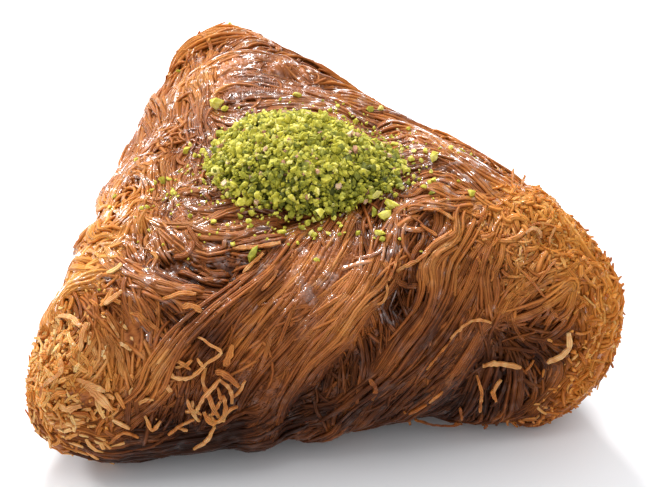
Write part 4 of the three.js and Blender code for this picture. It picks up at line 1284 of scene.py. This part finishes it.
class KADAYIF_OT_flakes(bpy.types.Operator):
    """Broken flakes and granules at the crisp ends, and loose strands"""

    bl_idname = "kadayif.flakes"
    bl_label = "Flakes and Loose Strands"

    def execute(self, context):
        parcel = wrapping()
        dry = strand_material("dry_flakes", roughness=0.50, shine=0.20, coat=0.1, soft=0.25)
        finish_piece(self.end_flakes(parcel), dry, "pastry")
        finish_piece(self.granules(parcel), dry, "pastry")
        finish_piece(self.loose_pieces(parcel), dry, "pastry")
        return {"FINISHED"}

    def end_flakes(self, parcel):
        """Short flat flakes: mostly along the strands, one end lifted."""
        rng = np.random.default_rng(301)
        tubes = Tubes()
        t = np.linspace(0, 1, FLAKE_STATIONS)
        for weights, (count, lengths, widths, rise, tone) in zip(end_places(parcel), END_FLAKES):
            starts = start_cells(rng, parcel.areas * weights, count)
            length = rng.uniform(*lengths, count)
            turns = rng.normal(0, FLAKE_TURN, count), rng.normal(0, FLAKE_TURN, count)
            directions = direction_of(arcs(parcel, rng, starts, length, *turns, FLAKE_STATIONS))
            lift = rng.uniform(-0.2, 0.35, (count, 1)) + rise * rng.random((count, 1)) * t**1.5
            centres, normals = parcel.surface(directions, lift)
            width = rng.uniform(*widths, (count, 1)) * (1 - 0.35 * np.abs(2 * t - 1) ** 4)
            width = width * rng.uniform(0.75, 1.2, (count, FLAKE_STATIONS))
            shade = tone + rng.normal(0, FLAKE_TONE_SPREAD, (count, 1))
            gold = gold_and_glow_at(directions) * 0.8 + 0.2
            thickness = np.full_like(width, FLAKE_THICKNESS)
            tubes.add(centres, normals, width, thickness, ribs=2, tone=shade, gold=gold)
        return tubes.piece("end_flakes", smooth=False)

    def granules(self, parcel):
        """Crisp granules, where strands have crumbled and been glued by the syrup."""
        rng = np.random.default_rng(304)
        counts, sizes, tones = zip(*END_GRANULES)
        total = sum(counts)
        starts = [start_cells(rng, parcel.areas * w, n) for w, n in zip(end_places(parcel), counts)]
        directions = unit(parcel.directions[np.concatenate(starts)] + rng.normal(0, 0.002, (total, 3)))
        sizes = np.repeat(sizes, counts) * rng.uniform(0.5, 1.5, total)
        centres, _ = parcel.surface(directions, rng.uniform(-0.15, 0.35, total))
        tones = np.repeat(tones, counts) + rng.normal(0, 0.08, total)
        shades = {"tone": tones, "gold": gold_and_glow_at(directions) * 0.8 + 0.25, "rib": sizes}
        return lumps("crisp_granules", rng, centres, sizes, shades, smooth=True)

    def loose_pieces(self, parcel):
        """The loose strands and flakes of LOOSE_PIECES, one smooth curve each."""
        rng = np.random.default_rng(302)
        tubes = Tubes()
        for line, width, thickness, tone in LOOSE_PIECES:
            knots = np.array(line)
            points, _ = parcel.surface(direction_at(knots[:, 0], knots[:, 1]), knots[:, 2])
            length = np.linalg.norm(np.diff(points, axis=0), axis=1).sum()
            stations = max(6, int(length / LOOSE_STEP))
            t = np.linspace(0, 1, stations)
            centres = curve_at(points, t)[None] + rng.normal(0, LOOSE_WOBBLE, (1, stations, 3))
            normals = body_normal(body_point(direction_of(centres)))
            widths = width * (1 - 0.4 * np.abs(2 * t - 1) ** 6)
            widths = widths * rng.uniform(1 - LOOSE_JAG, 1 + LOOSE_JAG, stations)
            thick = np.full((1, stations), thickness)
            shade = tone - 0.08 + rng.normal(0, 0.06, (1, stations))
            ribs = 2 + round(width)
            tubes.add(centres, normals, widths[None], thick, ribs, tone=shade, gold=LOOSE_GOLD)
        return tubes.piece("loose_strands", smooth=False)


CURL_STATIONS = 8
CURL_TONE = 0.06  # how much paler than the surface


class KADAYIF_OT_curls(bpy.types.Operator):
    """Short strands that lie across the others on the top, the front and the back"""

    bl_idname = "kadayif.curls"
    bl_label = "Curled Strands"

    def execute(self, context):
        parcel = wrapping()
        glazed = bpy.data.materials["glazed_strands"]
        soaked = bpy.data.materials["soaked_strands"]
        bearing, elevation = place_of(parcel.directions)
        beside = bell(bearing + 360 * (bearing < 0), 172, 38) + 0.25
        top = beside * (elevation > 40) * (elevation < 76)
        front = (elevation > -22) * (elevation < 42) * (bearing > -128) * (bearing < -36)
        back = (elevation > -50) * (elevation < 42) * ((bearing > -18) | (bearing < -150))
        ends = end_places(parcel)
        rims = ends[1] * 0.9 + ends[2] + ends[3] * 0.5
        groups = [
            # name, where, how many, shortest and longest, turned aside, bend, rise, material, seed
            ("top_curls", top, 560, (3.0, 8.0), 0.6, 1.3, 0.4, glazed, 303),
            ("front_curls", front, 520, (3.0, 9.0), 0.22, 0.5, 0.35, soaked, 305),
            ("back_curls", back, 400, (3.0, 9.0), 0.3, 0.6, 0.4, soaked, 306),
            ("rim_curls", rims, 640, (1.5, 5.0), 0.9, 1.6, 0.55, soaked, 307),
        ]
        width = settings().strand_width / MM
        t = np.linspace(0, 1, CURL_STATIONS)
        for name, weights, count, lengths, aside, bend, rise, material, seed in groups:
            rng = np.random.default_rng(seed)
            starts = start_cells(rng, parcel.areas * weights, count)
            length = rng.uniform(*lengths, count)
            turns = rng.normal(0, aside, count), rng.normal(0, bend, count)
            paths = arcs(parcel, rng, starts, length, *turns, CURL_STATIONS)
            lift = rng.uniform(-0.1, rise, (count, 1)) - (0.1 + rise) * np.abs(2 * t - 1) ** 4
            tubes = Tubes()
            add_strands(tubes, parcel, rng, direction_of(paths), lift, width, CURL_TONE)
            finish_piece(tubes.piece(name), material, "pastry")
        return {"FINISHED"}


def heap_point(directions):
    """The heap's surface in directions: an oval dome with a wavy edge and grain-sized bumps."""
    x, y, z = directions[..., 0], directions[..., 1], directions[..., 2]
    around = np.arctan2(y, x)
    edge = 1 + HEAP_RIPPLE * (np.sin(3 * around + 1) + 0.6 * np.sin(5 * around))
    bump = HEAP_BUMPS * np.sin(x * 19 + 2) * np.sin(y * 17 + 1)
    across = x * HEAP_RADII[0] * edge
    ahead = y * HEAP_RADII[1] * edge
    height = z * (HEAP_HEIGHT + bump) + np.where(z > 0, bump, 0)
    cos, sin = math.cos(HEAP_TURN), math.sin(HEAP_TURN)
    east = HEAP_AT[0] + across * cos - ahead * sin
    north = HEAP_AT[1] + across * sin + ahead * cos
    return np.stack([east, north, thickness_at(HEAP_AT) - HEAP_SUNK + height], -1)


LUMP_REACH = (0.5, 1.4)  # of each of a lump's points from its middle, as a share of its size
LUMP_STRETCH = (0.6, 1.3)
LUMP_TONE_SPREAD = 0.09


def lump_shape():
    """The points and triangles of an icosahedron: two rings of five points, each ring half as high
    as it is wide from the middle, and a point over and under them."""
    around = np.arange(5) * 0.4 * math.pi
    upper = np.stack([np.cos(around), np.sin(around), np.full(5, 0.5)], -1)
    lower = np.stack([np.cos(around + math.pi / 5), np.sin(around + math.pi / 5), -upper[:, 2]], -1)
    points = unit(np.vstack([upper, lower, POLES[::-1]]))
    i = np.arange(5)
    after = (i + 1) % 5
    faces = [
        np.stack([i, after, np.full(5, 10)], -1),
        np.stack([i, i + 5, after], -1),
        np.stack([i + 5, after + 5, after], -1),
        np.stack([after + 5, i + 5, np.full(5, 11)], -1),
    ]
    return points, np.concatenate(faces)


def random_turns(rng, count):
    """Random rotation matrices, from the columns of random squares made square to each other."""
    turns, _ = np.linalg.qr(rng.normal(size=(count, 3, 3)))
    return turns * np.sign(np.linalg.det(turns))[:, None, None]


def lumps(name, rng, centres, sizes, attributes, smooth=False):
    """Crumbs: each is a knobbly lump, stretched and turned at random."""
    shape, triangles = lump_shape()
    count = len(centres)
    reach = rng.uniform(*LUMP_REACH, (count, len(shape), 1))
    stretch = rng.uniform(*LUMP_STRETCH, (count, 1, 3))
    points = shape * reach * stretch * (sizes / 2)[:, None, None]
    points = np.einsum("nij,nkj->nki", random_turns(rng, count), points) + centres[:, None]
    points[..., 2] = np.maximum(points[..., 2], BASE_CUT)
    faces = (triangles[None] + (np.arange(count) * len(shape))[:, None, None]).reshape(-1, 3)
    spread = {key: np.repeat(values, len(shape)) for key, values in attributes.items()}
    spread["tone"] += rng.normal(0, LUMP_TONE_SPREAD, count * len(shape))
    return mesh_object(name, points.reshape(-1, 3), faces, spread, smooth)


def over_plan(plan):
    """The directions of the parcel's top over plan points."""
    return direction_of(np.column_stack([plan, thickness_at(plan)]))


SKIN_SHARE = 0.045  # of the crumbs have the nut's brown or pink skin
HEAP_COLUMNS = 72
HEAP_ROWS = 24
HEAP_CORE_SHARE = np.array([0.82, 0.82, 0.9])
# Painted shade: the heap's inside is dark, as it shows only deep between the grains.
HEAP_CORE_SHADE_TONE = 0.15
GRAIN_LAYERS = {-0.5: 0.3, -0.1: 0.4, 0.3: 0.3}  # the height of each layer, and its share of grains
GRAIN_SPREAD = 0.36
GRAIN_LIMITS = (0.3, 1.35)
GRAIN_TONE = 0.575
DEPTH_SHADE_TONE = 0.30  # painted shade: how much paler by a millimetre of height, so deeper grains are darker
SIDE_LIGHT_TONE = 0.07  # painted light and shade: how much paler the left side is, and how much darker the right
GRAIN_TONE_SPREAD = 0.16
FINE_CRUMBS = 420
FINE_CRUMB_SIZE = 0.48


class KADAYIF_OT_pistachio(bpy.types.Operator):
    """The heap of ground pistachio and the crumbs that lie round it"""

    bl_idname = "kadayif.pistachio"
    bl_label = "Ground Pistachio"

    def execute(self, context):
        material = nut_material()
        finish_piece(self.heap_core(), material, "pistachio_heap")
        finish_piece(self.heap_grains(), material, "pistachio_heap")
        finish_piece(self.crumbs(), material, "pistachio_heap")
        return {"FINISHED"}

    def heap_core(self):
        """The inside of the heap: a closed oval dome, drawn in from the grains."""
        around = np.arange(HEAP_COLUMNS) * 2 * math.pi / HEAP_COLUMNS
        up = np.linspace(-math.pi / 2, math.pi / 2, HEAP_ROWS + 1)[1:-1]
        a, e = np.meshgrid(around, up)
        directions = np.stack([np.cos(a) * np.cos(e), np.sin(a) * np.cos(e), np.sin(e)], -1)
        directions = np.vstack([directions.reshape(-1, 3), POLES])
        centre = heap_point(np.zeros(3))
        points = centre + (heap_point(directions) - centre) * HEAP_CORE_SHARE
        shades = {"tone": np.full(len(points), HEAP_CORE_SHADE_TONE), "skin": np.zeros(len(points))}
        return mesh_object("heap_core", points, globe_faces(HEAP_ROWS, HEAP_COLUMNS), shades)

    def heap_grains(self):
        """Grains over the dome in three layers, the deeper painted darker and greener as shade. Near its
        foot they lie at any height down to the pastry, and a few spill outwards."""
        rng = np.random.default_rng(401)
        count = settings().grains
        out = np.sqrt(rng.uniform(0, 1.0, count))
        around = rng.uniform(0, 2 * math.pi, count)
        directions = np.stack([np.cos(around) * out, np.sin(around) * out, np.sqrt(1 - out**2)], -1)
        depth = rng.choice(list(GRAIN_LAYERS), count, p=list(GRAIN_LAYERS.values()))
        sizes = np.clip(settings().grain_size / MM * rng.lognormal(0, GRAIN_SPREAD, count), *GRAIN_LIMITS)
        normals = unit(directions / np.array([HEAP_RADII[0], HEAP_RADII[1], HEAP_HEIGHT]))
        centres = heap_point(directions * np.array([0.95, 0.95, 1.0])) + normals * (depth - 0.15)[:, None]
        spill = (out > 0.9) * rng.exponential(0.5, count)
        centres[:, :2] += unit(centres[:, :2] - HEAP_AT) * spill[:, None]
        ground = wrapping().surface(over_plan(centres[:, :2]), np.full(count, 0.15))[0][:, 2]
        ground = ground + 0.25 * sizes
        foot = np.clip((out - 0.72) / 0.2, 0, 1) * rng.random(count)
        centres[:, 2] = np.maximum(centres[:, 2] + (ground - centres[:, 2]) * foot, ground)
        # Painted shade on deeper grains and the right side, painted light on the left.
        tones = GRAIN_TONE + depth * DEPTH_SHADE_TONE - SIDE_LIGHT_TONE * directions[:, 0]
        tones = tones + rng.normal(0, GRAIN_TONE_SPREAD, count)
        skins = (rng.random(count) < SKIN_SHARE) * 1.0
        return lumps("heap_grains", rng, centres, sizes, {"tone": tones, "skin": skins})

    def crumbs(self):
        """The crumbs of CRUMBS, and finer ones thinning out from the heap, most in front of it."""
        rng = np.random.default_rng(402)
        places = np.array(CRUMBS)
        directions = direction_at(places[:, 0], places[:, 1])
        around = rng.uniform(-math.pi, math.pi, FINE_CRUMBS)
        out = 0.98 + rng.exponential(0.2, FINE_CRUMBS) * (1 + 0.8 * (np.sin(around) < 0.2))
        plan = HEAP_AT + HEAP_RADII * out[:, None] * np.stack([np.cos(around), np.sin(around)], -1)
        directions = np.concatenate([directions, over_plan(plan)])
        sizes = np.concatenate([places[:, 2], rng.lognormal(math.log(FINE_CRUMB_SIZE), 0.35, FINE_CRUMBS)])
        centres, _ = wrapping().surface(directions, 0.25 + sizes * 0.35)
        tones = 0.76 + rng.normal(0, 0.12, len(sizes))
        skins = (rng.random(len(sizes)) < SKIN_SHARE) * 1.0
        return lumps("scattered_crumbs", rng, centres, sizes, {"tone": tones, "skin": skins})


FLOOR_REACH = 3.0  # metres
LAMPS = [  # name, place and width in metres, and power in watts; each is turned to the pastry
    ("key", (-0.10, 0.46, 0.52), 0.20, 4.4),
    ("left_edge", (-0.48, 0.22, 0.30), 0.14, 1.8),
    ("overhead", (0.0, 0.05, 0.90), 0.80, 3.0),
]


class KADAYIF_OT_stage(bpy.types.Operator):
    """The camera, soft light and pale floor"""

    bl_idname = "kadayif.stage"
    bl_label = "Stage"

    def execute(self, context):
        scene = context.scene
        self.camera(scene)
        self.floor(scene)
        self.world(scene)
        self.lamps(scene)
        scene.view_settings.view_transform = "Standard"
        return {"FINISHED"}

    def camera(self, scene):
        elevation = math.radians(CAMERA_ELEVATION)
        ahead = np.array([0, math.cos(elevation), -math.sin(elevation)])
        up = np.array([0, math.sin(elevation), math.cos(elevation)])
        right = np.array([1.0, 0, 0])
        place = CAMERA_TARGET - ahead * CAMERA_DISTANCE
        data = bpy.data.cameras.new("camera")
        data.lens = CAMERA_LENS
        data.clip_start = 0.01
        pixels = CAMERA_LENS / data.sensor_width * PHOTO_WIDTH
        aim = ahead * pixels + right * PHOTO_OFFSET[0] + up * PHOTO_OFFSET[1]
        camera = bpy.data.objects.new("camera", data)
        camera.location = (place - MIDDLE) * MM
        camera.rotation_euler = Vector(aim).to_track_quat("-Z", "Y").to_euler()
        scene.collection.objects.link(camera)
        scene.camera = camera

    def floor(self, scene):
        mesh = bpy.data.meshes.new("floor")
        corners = [(x * FLOOR_REACH, y * FLOOR_REACH, 0) for x, y in ((-1, -1), (1, -1), (1, 1), (-1, 1))]
        mesh.from_pydata(corners, [], [(0, 1, 2, 3)])
        floor = bpy.data.objects.new("floor", mesh)
        scene.collection.objects.link(floor)
        net = Network("pale_floor")
        net.shade({"Base Color": (0.86, 0.86, 0.87, 1), "Roughness": 0.6})
        mesh.materials.append(net.material)

    def world(self, scene):
        """A white studio, a little brighter in front, where the camera stands, than behind."""
        world = bpy.data.worlds.new("studio")
        world.use_nodes = True
        nodes, links = world.node_tree.nodes, world.node_tree.links
        place = nodes.new("ShaderNodeTexCoord")
        split = nodes.new("ShaderNodeSeparateXYZ")
        links.new(place.outputs["Generated"], split.inputs[0])
        spread = nodes.new("ShaderNodeMapRange")
        spread.inputs["From Min"].default_value = -0.7
        spread.inputs["From Max"].default_value = 0.7
        spread.inputs["To Min"].default_value = 0.90
        spread.inputs["To Max"].default_value = 0.83
        links.new(split.outputs["Y"], spread.inputs["Value"])
        background = nodes["Background"]
        background.inputs["Color"].default_value = (0.97, 0.98, 1.0, 1)
        links.new(spread.outputs["Result"], background.inputs["Strength"])
        scene.world = world

    def lamps(self, scene):
        """A soft key behind the parcel, one on its left that lights its edges, and one overhead."""
        for name, place, size, power in LAMPS:
            data = bpy.data.lights.new(name, "AREA")
            data.size = size
            data.energy = power
            lamp = bpy.data.objects.new(name, data)
            lamp.location = place
            lamp.rotation_euler = (-Vector(place)).to_track_quat("-Z", "Y").to_euler()
            scene.collection.objects.link(lamp)


class KADAYIF_PT_panel(bpy.types.Panel):
    """Lists the sizes and the steps that make the pastry"""

    bl_idname = "KADAYIF_PT_panel"
    bl_label = "Kadayif Triangle"
    bl_space_type = "VIEW_3D"
    bl_region_type = "UI"
    bl_category = "Kadayif"

    def draw(self, context):
        sizes = context.scene.kadayif_sizes
        for name in sizes.__annotations__:
            self.layout.prop(sizes, name)
        for step in STEPS:
            self.layout.operator(step.bl_idname)


STEPS = (
    KADAYIF_OT_stage,
    KADAYIF_OT_core,
    KADAYIF_OT_strands,
    KADAYIF_OT_sweeps,
    KADAYIF_OT_curls,
    KADAYIF_OT_flakes,
    KADAYIF_OT_pistachio,
)
CLASSES = (KadayifSizes, *STEPS, KADAYIF_PT_panel)


def register():
    for cls in CLASSES:
        bpy.utils.register_class(cls)
    bpy.types.Scene.kadayif_sizes = bpy.props.PointerProperty(type=KadayifSizes)


def unregister():
    del bpy.types.Scene.kadayif_sizes
    for cls in reversed(CLASSES):
        bpy.utils.unregister_class(cls)


def main():
    register()
    bpy.ops.kadayif.stage()
    bpy.ops.kadayif.core()
    bpy.ops.kadayif.strands()
    bpy.ops.kadayif.sweeps()
    bpy.ops.kadayif.curls()
    bpy.ops.kadayif.flakes()
    bpy.ops.kadayif.pistachio()


if __name__ == "__main__":
    main()
